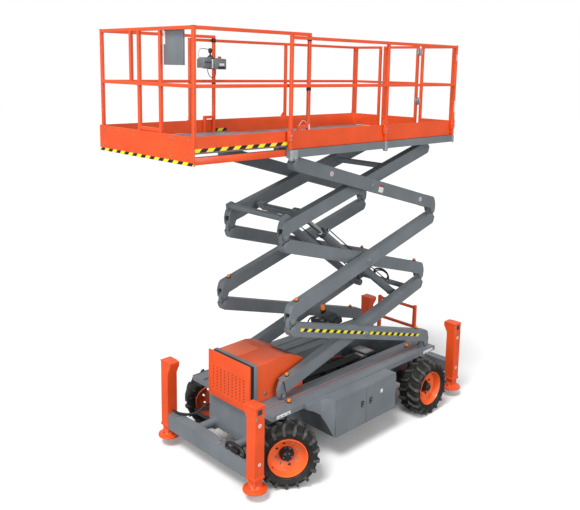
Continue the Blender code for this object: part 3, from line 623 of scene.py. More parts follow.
def cut_with(piece, cutter):
    """Cuts a piece with another object, which is then removed."""
    modifier = piece.modifiers.new("cut", "BOOLEAN")
    modifier.operation = "DIFFERENCE"
    modifier.object = cutter
    bpy.context.view_layer.update()
    graph = bpy.context.evaluated_depsgraph_get()
    mesh = bpy.data.meshes.new_from_object(piece.evaluated_get(graph))
    piece.modifiers.clear()
    piece.data = mesh
    mesh.set_sharp_from_angle(angle=math.radians(30))
    bpy.data.objects.remove(cutter, do_unlink=True)


def wheels():
    for name in WHEELS:
        tyre(name)
        rim(name)


# ------------------------------------------------------------------ running gear and chassis
def running_gear():
    for node in ("front_axle", "rear_axle", "knuckle_left", "knuckle_right", "tie_rod"):
        dress(node, "dark", 0.003)


def lamp(build, place, material="amber", radius=0.022):
    """A round position lamp on a black base."""
    x, y, z = place
    build.rod("black", (x, y, z - 0.002), (x, y, z + 0.012), radius + 0.003, 20)
    build.rod(material, (x, y, z + 0.010), (x, y, z + 0.040), radius, 24, end_radius=radius * 0.8,
              bevel=0.004)


def chassis():
    """The frame, with edge lips, lamps, bolts, a red line and blank plates on the side beams."""
    dress("chassis_frame", "grey", 0.003)
    top = BEAM_TOP
    trim = Build()
    for _, side in SIDES:
        y = side * RED_LINE_Y
        lip = sorted((side * 0.503, side * 0.513))
        trim.box("grey", (BEAM_REAR_X + 0.02, BEAM_FRONT_X - 0.02), lip, (top - 0.001, top + 0.016), 0.002)
        edge_lip = sorted((side * (BEAM_OUTER_Y - 0.008), side * (BEAM_OUTER_Y + 0.001)))
        trim.box("grey", (BEAM_REAR_X, BEAM_FRONT_X), edge_lip, (top - 0.001, top + 0.006), 0.002)
        for x, across in ((0.94 + MID_X, 0.56), (-1.29 + MID_X, 0.46)):
            lamp(trim, (x, side * across, top))
        trim.box("red", (BEAM_REAR_X + 0.10, BEAM_FRONT_X - 0.12), around(y, 0.004),
                 (top - 0.001, top + 0.0008))
        for x in (BEAM_FRONT_X - 0.16, BEAM_REAR_X + 0.15):
            edge = side * (BEAM_OUTER_Y + 0.0004)
            trim.box("white", around(x, 0.10), skin(edge, side, 0.001, 0.0006),
                     (top - 0.047, top - 0.010))
            for k in range(3):
                trim.box("grey", (x - 0.085 + k * 0.06, x - 0.05 + k * 0.06),
                         skin(edge, side, 0, 0.0009), (top - 0.040, top - 0.030))
        for k in range(9):
            x = BEAM_REAR_X + 0.18 + k * 0.30
            bolt(trim, (x, side * (BEAM_OUTER_Y - 0.12), top), (0, 0, 1), 0.009, 0.005, "grey")
    trim.finish("rail_markings", "chassis", "grey_paint")


# ------------------------------------------------------------------ outriggers
def outriggers():
    for end, _ in ENDS:
        for side_name, side in SIDES:
            outrigger(f"{end}_{side_name}", side)


def outrigger(name, side):
    """One leg in its housing, with cap, a dark patch of painted shade for a pocket, foot collar, blank
    stickers and a pressed foot.
    """
    dress(f"outrigger_{name}", "orange", 0.004)
    dress(f"leg_{name}", "orange", 0.002)
    lo, hi = low(f"outrigger_{name}"), high(f"outrigger_{name}")
    leg = middle(f"leg_{name}")
    x, y = leg.x, leg.y
    half = LEG_HALF
    outer = y + side * half
    trim = Build()
    trim.box("orange", around(x, half + 0.006), sorted((y - side * (half + 0.006),
                                                        y + side * (half + 0.006))),
                                                        (hi.z - 0.012, hi.z + 0.0015), 0.003)
    # painted shade: a flat dark patch where the housing has a pocket
    trim.box("dark", around(x, 0.030), skin(outer, side, 0.002, 0.001),
             (hi.z - 0.085, hi.z - 0.030), 0.001)
    trim.box("orange", around(x, half + 0.005), sorted(around(y, half + 0.005)),
             (lo.z, lo.z + 0.03), 0.003)
    for z, size in ((hi.z - 0.20, 0.020), (hi.z - 0.62, 0.018)):
        trim.disc("white", x, outer, z, side, 0.001, 0.0012, size, 28)
        trim.disc("black", x, outer, z, side, 0, 0.0016, size * 0.35, 20)
    for dx in (-0.045, 0.045):
        for z in (hi.z - 0.11, hi.z - 0.135):
            bolt(trim, (x + dx, outer, z), (0, side, 0), 0.007, 0.005)
    trim.finish(f"outrigger_trim_{name}", "chassis", "orange_paint")
    outrigger_foot(name, x, y)


def outrigger_foot(name, x, y):
    bottom = low(f"leg_{name}").z + 0.0005
    pad = Build()
    pad.lathe("orange", [(0.126, 0.000), (0.1275, 0.004), (0.1275, 0.014), (0.124, 0.018), (0.112, 0.019),
                         (0.106, 0.016), (0.075, 0.020), (0.062, 0.035), (0.060, 0.0)],
                         Matrix.Translation((x, y, bottom)), 48)
    pad.rod("zinc", (x - 0.085, y, bottom + 0.052), (x + 0.085, y, bottom + 0.052), 0.009, 16)
    pad.finish(f"outrigger_pad_{name}", f"leg_{name}", "orange_paint")


# ------------------------------------------------------------------ front end
def front_end():
    guard_panel()
    dress("radiator", "black", 0.004)
    dress("engine", "dark", 0.008)
    radiator_fins()
    front_beam()
    well()
    hood()


def guard_panel():
    """A thin folded sheet with rows of round holes."""
    guard_lo, guard_hi = low("guard_panel"), high("guard_panel")
    build = Build()
    build.box("orange", (guard_hi.x - GUARD_SHEET, guard_hi.x), (guard_lo.y, guard_hi.y),
              (guard_lo.z, guard_hi.z), 0.001)
    panel = build.finish("guard_panel_look", "chassis", "orange_paint", replaces=["guard_panel"])
    cutter = Build()
    columns, rows = 9, 8
    wide, tall = guard_hi.y - guard_lo.y, guard_hi.z - guard_lo.z
    for i in range(columns):
        for j in range(rows):
            y = guard_lo.y + wide * (0.13 + 0.74 * i / (columns - 1))
            z = guard_lo.z + tall * (0.20 + 0.46 * j / (rows - 1))
            cutter.rod("orange", (guard_lo.x - 0.02, y, z), (guard_hi.x + 0.02, y, z), 0.0090, 16)
    cut_with(panel, cutter.as_object("guard_holes"))


def radiator_fins():
    """Fins and side tanks of the radiator, and the folded edge and backing of the guard panel."""
    guard_lo, guard_hi = low("guard_panel"), high("guard_panel")
    sheet_back = guard_hi.x - GUARD_SHEET
    radiator_lo, radiator_hi = low("radiator"), high("radiator")
    core = Build()
    core.box("black", (sheet_back - 0.0035, sheet_back - 0.0005), (guard_lo.y + 0.03, guard_hi.y - 0.03),
             (guard_lo.z + 0.07, guard_hi.z - 0.12))
    for y in (guard_lo.y, guard_hi.y - 0.003):
        core.box("orange", (guard_lo.x - 0.010, sheet_back + 0.001), (y, y + 0.003),
                 (guard_lo.z, guard_hi.z))
    for z in (guard_lo.z, guard_hi.z - 0.003):
        core.box("orange", (guard_lo.x - 0.010, sheet_back + 0.001), (guard_lo.y, guard_hi.y),
                 (z, z + 0.003))
    for i in range(24):
        z = radiator_lo.z + 0.02 + i * (radiator_hi.z - radiator_lo.z - 0.04) / 23
        core.box("grey", (radiator_hi.x - 0.001, radiator_hi.x + 0.003),
                 (radiator_lo.y + 0.02, radiator_hi.y - 0.02), around(z, 0.002))
    for y in (radiator_lo.y, radiator_hi.y):
        core.box("grey", (radiator_lo.x + 0.002, radiator_lo.x + 0.048), around(y, 0.007),
                 (radiator_lo.z, radiator_hi.z + 0.004), 0.002)
    for y in (guard_lo.y + 0.06, guard_hi.y - 0.06):
        for z in (guard_lo.z + 0.10, guard_hi.z - 0.06):
            core.rod("black", (radiator_hi.x - 0.01, y, z), (guard_lo.x, y, z), 0.012, 14)
            bolt(core, (guard_hi.x, y, z), (1, 0, 0), 0.008, 0.004, "orange")
    core.box("grey", (radiator_lo.x + 0.002, radiator_lo.x + 0.048),
             (radiator_lo.y - 0.006, radiator_hi.y + 0.006), (radiator_hi.z - 0.002, radiator_hi.z + 0.005),
             0.002)
    core.finish("radiator_fins", "chassis", "dark_paint")


def front_beam():
    """Tow loop, hose grommets and pin plates round the front cross beam."""
    trim = Build()
    x = CROSS_BEAM_X
    loop = ((0.40, 0.405), (0.34, 0.425), (0.34, 0.475), (0.42, 0.505), (0.53, 0.505), (0.61, 0.475),
            (0.61, 0.425), (0.55, 0.405), (0.40, 0.405))
    trim.tube("black", [(x + 0.03, y, z - 0.02) for y, z in loop], 0.018, 12)
    trim.box("black", (x + 0.01, x + 0.05), (0.42, 0.53), (0.39, 0.455), 0.006)
    for y in (-0.52, 0.20):
        trim.box("grey", around(x, 0.055), around(y, 0.03), (0.399, 0.407), 0.002)
        bolt(trim, (x, y, 0.407), (0, 0, 1), 0.012, 0.010)
    for y in (-0.29, 0.29):
        place = Matrix.Translation((BEAM_FRONT_X - 0.001, y, 0.335)) @ TURN_TO_X
        flange = [(0.0, 0.0), (0.068, 0.0), (0.068, 0.012), (0.052, 0.014), (0.0, 0.014)]
        trim.lathe("grey", flange, place, 32, closed=False)
    trim.tube("hose", [(BEAM_FRONT_X, -0.40, 0.50), (BEAM_FRONT_X + 0.05, -0.41, 0.50),
                       (BEAM_FRONT_X + 0.13, -0.44, 0.44), (BEAM_FRONT_X + 0.22, -0.50, 0.415),
                       (x - 0.02, -0.58, 0.412), (x, -0.66, 0.43)], 0.011)
    trim.tube("hose", [(BEAM_FRONT_X, -0.37, 0.52), (BEAM_FRONT_X + 0.06, -0.38, 0.52),
                       (BEAM_FRONT_X + 0.15, -0.42, 0.45), (BEAM_FRONT_X + 0.23, -0.49, 0.437),
                       (x - 0.01, -0.58, 0.434), (x + 0.01, -0.66, 0.45)], 0.009)
    trim.finish("front_beam_trim", "chassis", "dark_paint")


def well():
    """Pump motor, valve block, battery tray and pipes between the chassis walls."""
    gear = Build()
    for x, y, z, radius, long in ((0.02, 0.09, 0.600, 0.100, 0.30), (-0.62, -0.12, 0.560, 0.080, 0.26)):
        start = Matrix.Translation((x - long / 2, y, z)) @ TURN_TO_X
        gear.lathe("black", [(0.0, 0.0), (radius * 0.8, 0.0), (radius, 0.012), (radius, long - 0.012),
                             (radius * 0.8, long), (0.0, long)], start, 32, closed=False)
        for k in range(9):
            along = 0.03 + k * (long - 0.06) / 8
            gear.lathe("dark", [(radius - 0.002, along), (radius + 0.005, along + 0.003),
                                (radius - 0.002, along + 0.006)], start, 32)
        gear.lathe("white", [(0.0, long), (0.045, long), (0.045, long + 0.022), (0.038, long + 0.026),
                             (0.0, long + 0.026)], start, 28, closed=False)
    for x, y, z, size in ((-0.30, 0.12, 0.60, (0.20, 0.14, 0.16)), (-0.30, -0.10, 0.56, (0.30, 0.18, 0.22)),
                          (-0.85, 0.09, 0.58, (0.26, 0.20, 0.20)), (0.30, -0.09, 0.58, (0.24, 0.18, 0.24)),
                          (-1.15, -0.04, 0.54, (0.22, 0.30, 0.22))):
        spans = [around(c, s / 2) for c, s in zip((x, y, z), size)]
        gear.box("dark", *spans, 0.012)
        gear.box("zinc", (spans[0][0] + 0.03, spans[0][1] - 0.03), (spans[1][0] + 0.03, spans[1][1] - 0.03),
                 (spans[2][1] - 0.002, spans[2][1] + 0.006), 0.002)
        for k in range(3):
            bolt(gear, (x - 0.05 + 0.05 * k, y, spans[2][1] + 0.006), (0, 0, 1), 0.010, 0.012)
    for k in range(6):
        y = 0.05 + 0.022 * k
        gear.tube("hose", [(0.30, -0.12 + 0.01 * k, 0.66), (0.18, y - 0.05, 0.715 - 0.004 * k),
                           (-0.10, y, 0.705), (-0.45, y + 0.04, 0.71), (-0.80, y + 0.02, 0.705),
                           (-1.05, y - 0.10, 0.62)], 0.0095)
    for k in range(3):
        gear.tube("red" if k == 1 else "hose", [(-0.75, -0.05 * k, 0.66), (-0.60, 0.02 - 0.05 * k, 0.71),
                                                (-0.35, -0.02 - 0.04 * k, 0.70), (-0.15, -0.06 * k, 0.60)],
                                                0.007)
    gear.finish("well_gear", "chassis", "dark_paint")


def hood():
    """Folded engine cover: a raised middle painted lighter as a painted highlight, dropped shoulders, and
    louvres painted dark as painted shade.
    """
    lo, hi = low("engine_cover"), high("engine_cover")
    dress("engine_cover", "hood", 0.006)
    y0, y1 = lo.y, hi.y
    ridge = y0 + (y1 - y0) * 0.48
    top = hi.z
    trim = Build()
    front, rear = hi.x, lo.x
    # painted highlight: a thin wedge on the cover's top in a lighter copy of its paint
    trim.prism("hood_painted_highlight", [(front - 0.005, top - 0.008), (front - 0.33, top + 0.001),
                              (front - 0.33, top - 0.008)], y0 + 0.02, ridge, "Y")
    # painted shade: flat dark strips stand in for the shade inside the louvre slots
    for k in range(7):
        x = rear + 0.08 + k * 0.024
        slope = (x - rear) * 0.47
        trim.box("dark", around(x, 0.005), (ridge + 0.05, y1 - 0.05),
                 (lo.z + 0.327 + slope, lo.z + 0.3315 + slope))
    for x in (rear + 0.12, front - 0.12):
        trim.box("zinc", around(x, 0.018), (y1 - 0.001, y1 + 0.006), (lo.z + 0.06, lo.z + 0.10), 0.002)
        trim.box("zinc", around(x, 0.018), (y0 - 0.006, y0 + 0.001), (lo.z + 0.06, lo.z + 0.10), 0.002)
    trim.box("black", (front - 0.001, front + 0.006), (y0 + 0.03, y1 - 0.03), (lo.z + 0.02, top - 0.06),
             0.002)
    trim.finish("engine_cover_trim", "chassis", "orange_paint")


# ------------------------------------------------------------------ cabinets
def cabinets():
    """Cabinets and their doors, with latches, hinges and a blank sticker."""
    for side_name, side in SIDES:
        dress(f"cabinet_{side_name}", "grey", 0.004)
        for part in ("rear", "front"):
            name = f"cabinet_door_{part}_{side_name}"
            dress(name, "grey", 0.003)
            lo, hi = low(name), high(name)
            face = hi.y if side > 0 else lo.y
            trim = Build()
            latch_x = lo.x + 0.07 if part == "front" else hi.x - 0.07
            z = (lo.z + hi.z) / 2 + 0.03
            trim.box("black", around(latch_x, 0.022), skin(face, side, 0, 0.006), around(z, 0.035), 0.004)
            trim.rod("zinc", (latch_x, face + side * 0.004, z + 0.012), (latch_x, face + side * 0.010,
                                                                         z + 0.012), 0.008, 18, bevel=0.001)
            trim.box("zinc", around(latch_x, 0.016), sorted((face + side * 0.006, face + side * 0.009)),
                     (z - 0.026, z - 0.012), 0.002)
            hinge_x = hi.x if part == "front" else lo.x
            for hz in (lo.z + 0.07, hi.z - 0.07):
                trim.rod("grey", (hinge_x, face - side * 0.004, hz - 0.03), (hinge_x, face - side * 0.004,
                                                                             hz + 0.03), 0.006, 14)
            trim.finish(f"door_trim_{part}_{side_name}", name, "dark_paint")
            if part == "rear":
                sticker = Build()
                centre = (lo.x + hi.x) / 2
                sticker.box("white", around(centre, 0.02), skin(face, side, 0.0005, 0.0006),
                            (z + 0.03, z + 0.075))
                sticker.finish(f"door_label_{side_name}", name, "grey_paint")


def ladder():
    """The rear ladder, with grip strips on its rungs."""
    dress("ladder", "orange", 0.006)
    lo = low("ladder")
    grips = Build()
    for z in (0.64, 0.90, 1.17):
        for k in range(14):
            y = -0.26 + k * 0.04
            grips.box("dark", (lo.x + 0.001, lo.x + 0.036), around(y, 0.004), (z + 0.0145, z + 0.0165))
    grips.finish("ladder_grips", "chassis", "orange_paint")


# ------------------------------------------------------------------ scissor
def arm_frame(joint_name, rise_to):
    """An arm's own frame: X along the tube, Y across, Z up from its centre pin."""
    turn = Matrix.Rotation(0 if rise_to > 0 else math.pi, 4, "Z")
    return Matrix.Translation(joint_at(joint_name)) @ turn @ Matrix.Rotation(-ARM_TILT, 4, "Y")


ARMS = (
    ("lower_outer_arms", ("lower_outer_arm_left", "lower_outer_arm_right"), "lower_centre_pivot", 1),
    ("middle_outer_arms", ("middle_outer_arm_left", "middle_outer_arm_right"), "middle_centre_pivot", -1),
    ("upper_outer_arms", ("upper_outer_arm_left", "upper_outer_arm_right"), "upper_centre_pivot", 1),
    ("lower_inner_arms", ("lower_inner_arms",), "lower_centre_pivot", -1),
    ("middle_inner_arms", ("middle_inner_arms",), "middle_centre_pivot", 1),
    ("upper_inner_arms", ("upper_inner_arms",), "upper_centre_pivot", -1),
)


def arm_trim(body, centre, rise_to, outer):
    """Weld seams, pin caps and keeper plates on a pair of arms; pivot caps on the outer ones."""
    place = arm_frame(centre, rise_to)
    face = OUTER_FACE_Y if outer else INNER_FACE_Y
    trim = Build()
    half = ARM_HEIGHT / 2
    pin_up = ARM_HALF * math.tan(ARM_RISE)
    for side in (-1, 1):
        y = side * (face + 0.002)
        trim.rod("grey", (-ARM_HALF, y - side * 0.002, -pin_up), (-ARM_HALF, y + side * 0.006, -pin_up),
                 0.026, 24, bevel=0.002, matrix=place)
        trim.box("zinc", around(-ARM_HALF, 0.020), skin(y, side, -0.0055, 0.0085), around(-pin_up, 0.006),
                 0.001, place)
        if outer:
            trim.rod("grey", (0, side * (OUTER_FACE_Y - 0.002), 0), (0, side * (OUTER_FACE_Y + 0.006), 0),
                     0.046, 32, bevel=0.002, matrix=place)
            trim.rod("zinc", (0, side * (OUTER_FACE_Y + 0.005), 0), (0, side * (OUTER_FACE_Y + 0.013), 0),
                     0.022, 6, bevel=0.002, matrix=place)
        seam = face - 0.0005
        for top in (-1, 1):
            trim.rod("grey", (-ARM_HALF + 0.21, side * seam, top * (half - 0.001)),
                     (-ARM_HALF + 0.21, side * (seam - 0.09), top * (half - 0.001)), 0.003, 8, matrix=place)
    trim.finish(f"{body}_trim", body, "grey_paint")


# Outlines given as (distance before the end pin, height above the tube's middle).
END_PLATE = [(0.050, -0.073), (0.020, -0.053), (-0.014, -0.003)]
END_SIDE = [(0.062, -0.0728), (0.050, -0.0728), (0.020, -0.0528), (-0.012, -0.006), (-0.005, 0.022),
            (0.030, 0.045), (0.062, 0.0728)]


def arm_ends(body, centre, rise_to, outer, open_lower):
    """Folded plates that close an arm's two ends round to its pins."""
    place = arm_frame(centre, rise_to)
    across = OUTER_Y if outer else INNER_Y
    ends = Build()
    for side in (-1, 1):
        y = side * across
        for sign in (-1, 1):
            if sign < 0 and not open_lower:
                continue
            wrap = [(sign * (ARM_HALF - x), sign * z) for x, z in END_PLATE]
            thick = [(x + sign * 0.006, z - sign * 0.002) for x, z in wrap]
            ends.prism("grey", wrap + thick[::-1], y - 0.0505, y + 0.0505, "Y", 0.0015, place)
            if sign > 0:
                plate = [(ARM_HALF - x, z) for x, z in END_SIDE]
                for face in (-1, 1):
                    ends.prism("grey", plate, y + face * 0.0495, y + face * 0.0455, "Y", 0.001, place)
    ends.finish(f"{body}_end_plates", body, "grey_paint")


def label(build, place, x, z, wide, tall, side, face, mark):
    """A blank plate on an arm's side, with a plain coloured mark."""
    y = side * face
    build.box("white", around(x, wide / 2), skin(y, side, 0.001, 0.0007), around(z, tall / 2),
              matrix=place)
    build.box(mark, around(x, wide / 2), skin(y, side, 0, 0.0011),
              (z + tall * 0.22, z + tall / 2), matrix=place)


def round_label(build, place, x, z, side, face):
    """A blank round sign with a red ring."""
    y = side * face
    build.disc("white", x, y, z, side, 0.001, 0.0008, 0.027, 28, matrix=place)
    build.disc("red", x, y, z, side, 0, 0.0011, 0.019, 28, matrix=place)
    build.disc("white", x, y, z, side, 0, 0.0014, 0.013, 28, matrix=place)
    build.disc("black", x, y, z, side, 0, 0.0017, 0.006, 20, matrix=place)


def arm_labels():
    """Blank labels on the upper arms and warning stripes on the lower ones."""
    top = Build()
    place = arm_frame("upper_centre_pivot", 1)
    for side in (-1, 1):
        face = OUTER_FACE_Y
        round_label(top, place, -0.98, 0.0, side, face)
        label(top, place, -0.17, -0.01, 0.085, 0.085, side, face, "red")
        round_label(top, place, 0.72, 0.0, side, face)
    top.finish("upper_arm_labels", "upper_outer_arms", "grey_paint")
    stripe = Build()
    place = arm_frame("lower_centre_pivot", 1)
    for side in (-1, 1):
        y = side * OUTER_FACE_Y
        for x0, x1 in ((-1.10, -0.02), (0.02, 1.16)):
            stripe.box("hazard_arm", (x0, x1), skin(y, side, 0.001, 0.0009), (-0.012, 0.022), matrix=place)
    stripe.finish("lower_arm_stripes", "lower_outer_arms", "grey_paint")


def sensor(build, place, x, z, y):
    """A round amber position lamp on an arm's top."""
    build.rod("black", (x, y, z), (x, y, z + 0.012), 0.024, 20, matrix=place)
    build.rod("amber", (x, y, z + 0.010), (x, y, z + 0.034), 0.021, 24, end_radius=0.018, bevel=0.003,
              matrix=place)


def arm_sensors():
    half = ARM_HEIGHT / 2
    spots = (("lower_outer_arms", "lower_centre_pivot", 1, -1.08, OUTER_Y),
             ("middle_outer_arms", "middle_centre_pivot", -1, -1.16, OUTER_Y),
             ("lower_inner_arms", "lower_centre_pivot", -1, -1.16, INNER_Y),
             ("middle_inner_arms", "middle_centre_pivot", 1, -1.14, INNER_Y))
    for body, centre, rise_to, along, across in spots:
        build = Build()
        for side in (-1, 1):
            sensor(build, arm_frame(centre, rise_to), along, half, side * across)
        build.finish(f"{body}_lamps", body, "orange_paint")


def scissor():
    """All the arms, the two lift cylinders and what rides on them."""
    for body, nodes, centre, rise_to in ARMS:
        for node in nodes:
            dress(node, "grey", 0.004)
        arm_trim(body, centre, rise_to, "outer" in body)
        arm_ends(body, centre, rise_to, "outer" in body, body != "lower_inner_arms")
    arm_labels()
    arm_sensors()
    dress("lift_barrels", "grey", 0.003)
    dress("lift_rods", "grey", 0.002)
    cylinder_trim()
    linkage_gear()
    arm_hoses()


def linkage_gear():
    """Valve box and beacon strapped to the lower inner arms' cross tube."""
    place = arm_frame("lower_centre_pivot", -1)
    gear = Build()
    for y in (-0.14, 0.14):
        gear.box("grey", (-0.335, -0.10), around(y, 0.015), (-0.030, -0.014), 0.002, place)
    gear.box("dark", (-0.15, 0.07), (-0.17, 0.17), (-0.02, 0.050), 0.010, place)
    gear.box("dark", (-0.10, 0.03), (-0.14, 0.02), (0.045, 0.112), 0.008, place)
    gear.box("zinc", (-0.13, -0.11), (-0.15, 0.15), (0.048, 0.060), 0.002, place)
    for k in range(4):
        y = -0.12 + 0.08 * k
        gear.rod("zinc", (-0.13, y, 0.05), (-0.13, y, 0.085), 0.011, 6, matrix=place)
    gear.rod("black", (0.03, 0.10, 0.045), (0.03, 0.10, 0.105), 0.034, 24, matrix=place)
    gear.rod("amber", (0.03, 0.10, 0.100), (0.03, 0.10, 0.165), 0.030, 28, end_radius=0.024, bevel=0.006,
             matrix=place)
    for k in range(3):
        y = -0.11 + 0.10 * k
        path = [place @ Vector(p) for p in ((-0.13, y, 0.08), (-0.20, y + 0.02, 0.10),
                                            (-0.27, y + 0.03, 0.03), (-0.30, y + 0.03, -0.045))]
        gear.tube("hose", path, 0.009)
    gear.finish("linkage_gear", "lower_inner_arms", "dark_paint")


def cylinder_trim():
    """Bright rods, gland nuts and ports of the two lift cylinders."""
    top = joint_at("lift_rod_pin")
    bottom = joint_at("lift_cylinder_stroke")
    along = (bottom - top).normalized()
    rods, barrels = Build(), Build()
    lift_up = Vector((along.z, 0, -along.x))
    gland = (bottom - top).length - BARREL
    for side in (-1, 1):
        offset = Vector((0, side * CYLINDER_Y, 0))
        rods.rod("chrome", top + offset + along * 0.06, top + offset + along * (gland + 0.5), 0.0285, 32)
        collar = top + offset + along * (gland - 0.001)
        barrels.rod("dark", collar - along * 0.002, collar + along * 0.055, 0.0555, 36, bevel=0.003)
        barrels.rod("zinc", collar - along * 0.006, collar + along * 0.002, 0.044, 32, bevel=0.001)
        for reach in (0.10, 1.50):
            port = top + offset + along * (gland + reach)
            barrels.rod("dark", port + lift_up * 0.045, port + lift_up * 0.072, 0.016, 6)
            barrels.rod("zinc", port + lift_up * 0.070, port + lift_up * 0.086, 0.011, 12)
        start = top + offset + along * (gland + 0.10) + lift_up * 0.078
        loop = [top + offset + along * (gland + a) + lift_up * b + Vector((0, -side * c, 0)) for a, b,
                c in ((1.50, 0.08, 0.0), (1.48, 0.15, 0.01), (1.38, 0.17, 0.05), (1.30, 0.12, 0.09),
                      (1.36, 0.05, 0.10), (1.50, 0.03, 0.09), (1.60, 0.02, 0.06))]
        barrels.tube("hose", loop, 0.011)
        barrels.tube("hose", [p + along * 0.03 + lift_up * -0.01 for p in loop[:-2]], 0.009)
        barrels.tube("hose", [start, start + along * 0.04 + lift_up * 0.008, start + along * 0.70,
                              start + along * 1.36, start + along * 1.40], 0.007)
    rods.finish("lift_rod_chrome", "lift_rods", "steel")
    barrels.finish("lift_barrel_fittings", "lift_barrels", "dark_paint")


def arm_hoses():
    """Hydraulic lines clipped along the lower and middle inner arms."""
    for body, centre, rise_to in (("lower_inner_arms", "lower_centre_pivot", -1),
                                  ("middle_inner_arms", "middle_centre_pivot", 1)):
        place = arm_frame(centre, rise_to)
        build = Build()
        y = rise_to * LINES_Y
        for z in (0.02, 0.0, -0.02):
            path = [place @ Vector((x, y, z + 0.004 * math.sin(9 * x))) for x in (-0.95, -0.6, -0.2, 0.2,
                                                                                  0.6, 0.95)]
            build.tube("hose", path, 0.008)
        for x in (-0.9, -0.45, 0.05, 0.5, 0.9):
            build.box("black", around(x, 0.012), sorted((y - 0.011, y + 0.013)), (-0.036, 0.036), 0.003,
                      place)
        build.finish(f"{body}_lines", body, "dark_paint")


# ------------------------------------------------------------------ platform
def platform():
    """The main deck, its toe boards, rails and gate."""
    dress("platform_deck", "grey", 0.003)
    lo, hi = low("platform_deck"), high("platform_deck")
    floor = Build()
    floor.box("deck", (lo.x + 0.045, hi.x - 0.004), around(0, DECK_HALF_Y),
              (DECK_TOP - 0.004, DECK_TOP + 0.0012), 0.0008)
    floor.finish("deck_tread", "platform", "deck")
    for side in ("left", "right"):
        dress(f"toe_board_{side}", "orange", 0.0012)
        dress(f"side_rail_{side}", "orange", 0.004, 3)
        dress(f"rear_rail_{side}", "orange", 0.004, 3)
    dress("entry_gate", "orange", 0.004, 3)
    platform_fittings()
    gate_fittings()


def platform_fittings():
    """Post feet, black caps, the roller brackets under the channel, a painted shadow line over the channel
    and blank strips.
    """
    trim = Build()
    for rail, side in SIDES:
        rlo, rhi = low(f"side_rail_{rail}"), high(f"side_rail_{rail}")
        y = side * MAIN_POST_Y
        for x in (rhi.x - RAIL / 2, rlo.x + RAIL / 2):
            trim.box("black", around(x, RAIL / 2 + 0.001), around(y, RAIL / 2 + 0.001),
                     (rhi.z - 0.004, rhi.z + 0.001), 0.001)
        for x in (rhi.x - RAIL / 2, MID_POST_X, rlo.x + RAIL / 2):
            outer = y + side * RAIL / 2
            trim.box("orange", around(x, 0.035), skin(y, side, 0.012, 0.012),
                     (TOE_TOP - 0.10, TOE_TOP + 0.004), 0.002)
            for dz in (-0.045, -0.085):
                bolt(trim, (x, outer, TOE_TOP + dz), (0, side, 0), 0.009, 0.006)
            trim.rod("zinc", (x - 0.02, outer + side * 0.004, TOE_TOP + 0.02),
                     (x + 0.02, outer + side * 0.004, TOE_TOP + 0.02), 0.004, 10)
        trim.prism("orange", [(MID_POST_X + RAIL / 2, TOE_TOP), (MID_POST_X + 0.075, TOE_TOP),
                              (MID_POST_X + RAIL / 2, TOE_TOP + 0.07)], y - 0.003, y + 0.003, "Y")
        face = side * CHANNEL_Y
        for x, long in ((rhi.x - 0.050, 0.10), (MID_POST_X, 0.045), (rlo.x + 0.014, 0.026)):
            trim.box("light_grey", around(x, long / 2), skin(face, side, 0.002, 0.008),
                     CHANNEL_Z, 0.003)
            bolt(trim, (x, face + side * 0.008, 3.535), (0, side, 0), 0.008, 0.006)
        for x in (rhi.x - 0.025, rhi.x - 0.080, MID_POST_X):
            trim.rod("light_grey", (x, face - side * 0.030, 3.470), (x, face + side * 0.010, 3.470), 0.024,
                     24, bevel=0.003)
            bolt(trim, (x, face + side * 0.010, 3.470), (0, side, 0), 0.010, 0.008)
        # painted shadow: a thin dark sheet in the gap between the toe board and the grey channel
        trim.box("dark", (rlo.x + 0.01, rhi.x - 0.01), sorted((side * 0.7935, side * 0.812)),
                 (3.5555, 3.5575))
        for z0, z1 in ((TOE_TOP + 0.10, TOE_TOP + 0.24), (4.46, 4.53)):
            strip = sorted((y + side * RAIL / 2 - side * 0.001, y + side * (RAIL / 2 + 0.0006)))
            trim.box("white", (rlo.x + 0.008, rlo.x + 0.024), strip, (z0, z1))
    trim.finish("platform_fittings", "platform", "orange_paint")


def gate_fittings():
    """The gate's two hinges and its latch."""
    glo, ghi = low("entry_gate"), high("entry_gate")
    x = (glo.x + ghi.x) / 2
    fixed, moving = Build(), Build()
    for z in (ghi.z - 0.075, TOE_TOP + 0.21):
        moving.box("zinc", around(x, 0.018), (ghi.y - 0.026, ghi.y + 0.004), around(z, 0.040), 0.003)
        moving.rod("zinc", (x, ghi.y + 0.022, z - 0.046), (x, ghi.y + 0.022, z + 0.046), 0.010, 16,
                   bevel=0.002)
        fixed.box("zinc", around(x, 0.018), (ghi.y + 0.036, ghi.y + 0.062), around(z, 0.040), 0.003)
        for dz in (-0.022, 0.022):
            bolt(moving, (x + 0.018, ghi.y - 0.010, z + dz), (1, 0, 0), 0.006, 0.004)
            bolt(fixed, (x + 0.018, ghi.y + 0.050, z + dz), (1, 0, 0), 0.006, 0.004)
    z = MID_RAIL_Z
    moving.rod("zinc", (x, glo.y + 0.004, z), (x + 0.035, glo.y + 0.004, z), 0.016, 18, bevel=0.002)
    moving.rod("zinc", (x - 0.03, glo.y + 0.004, z), (x, glo.y + 0.004, z), 0.010, 18, bevel=0.002)
    fixed.rod("zinc", (x - 0.02, glo.y - 0.030, z), (x + 0.03, glo.y - 0.030, z), 0.014, 18, bevel=0.002)
    moving.finish("gate_hinges", "entry_gate", "steel")
    fixed.finish("gate_hinge_leaves", "platform", "steel")


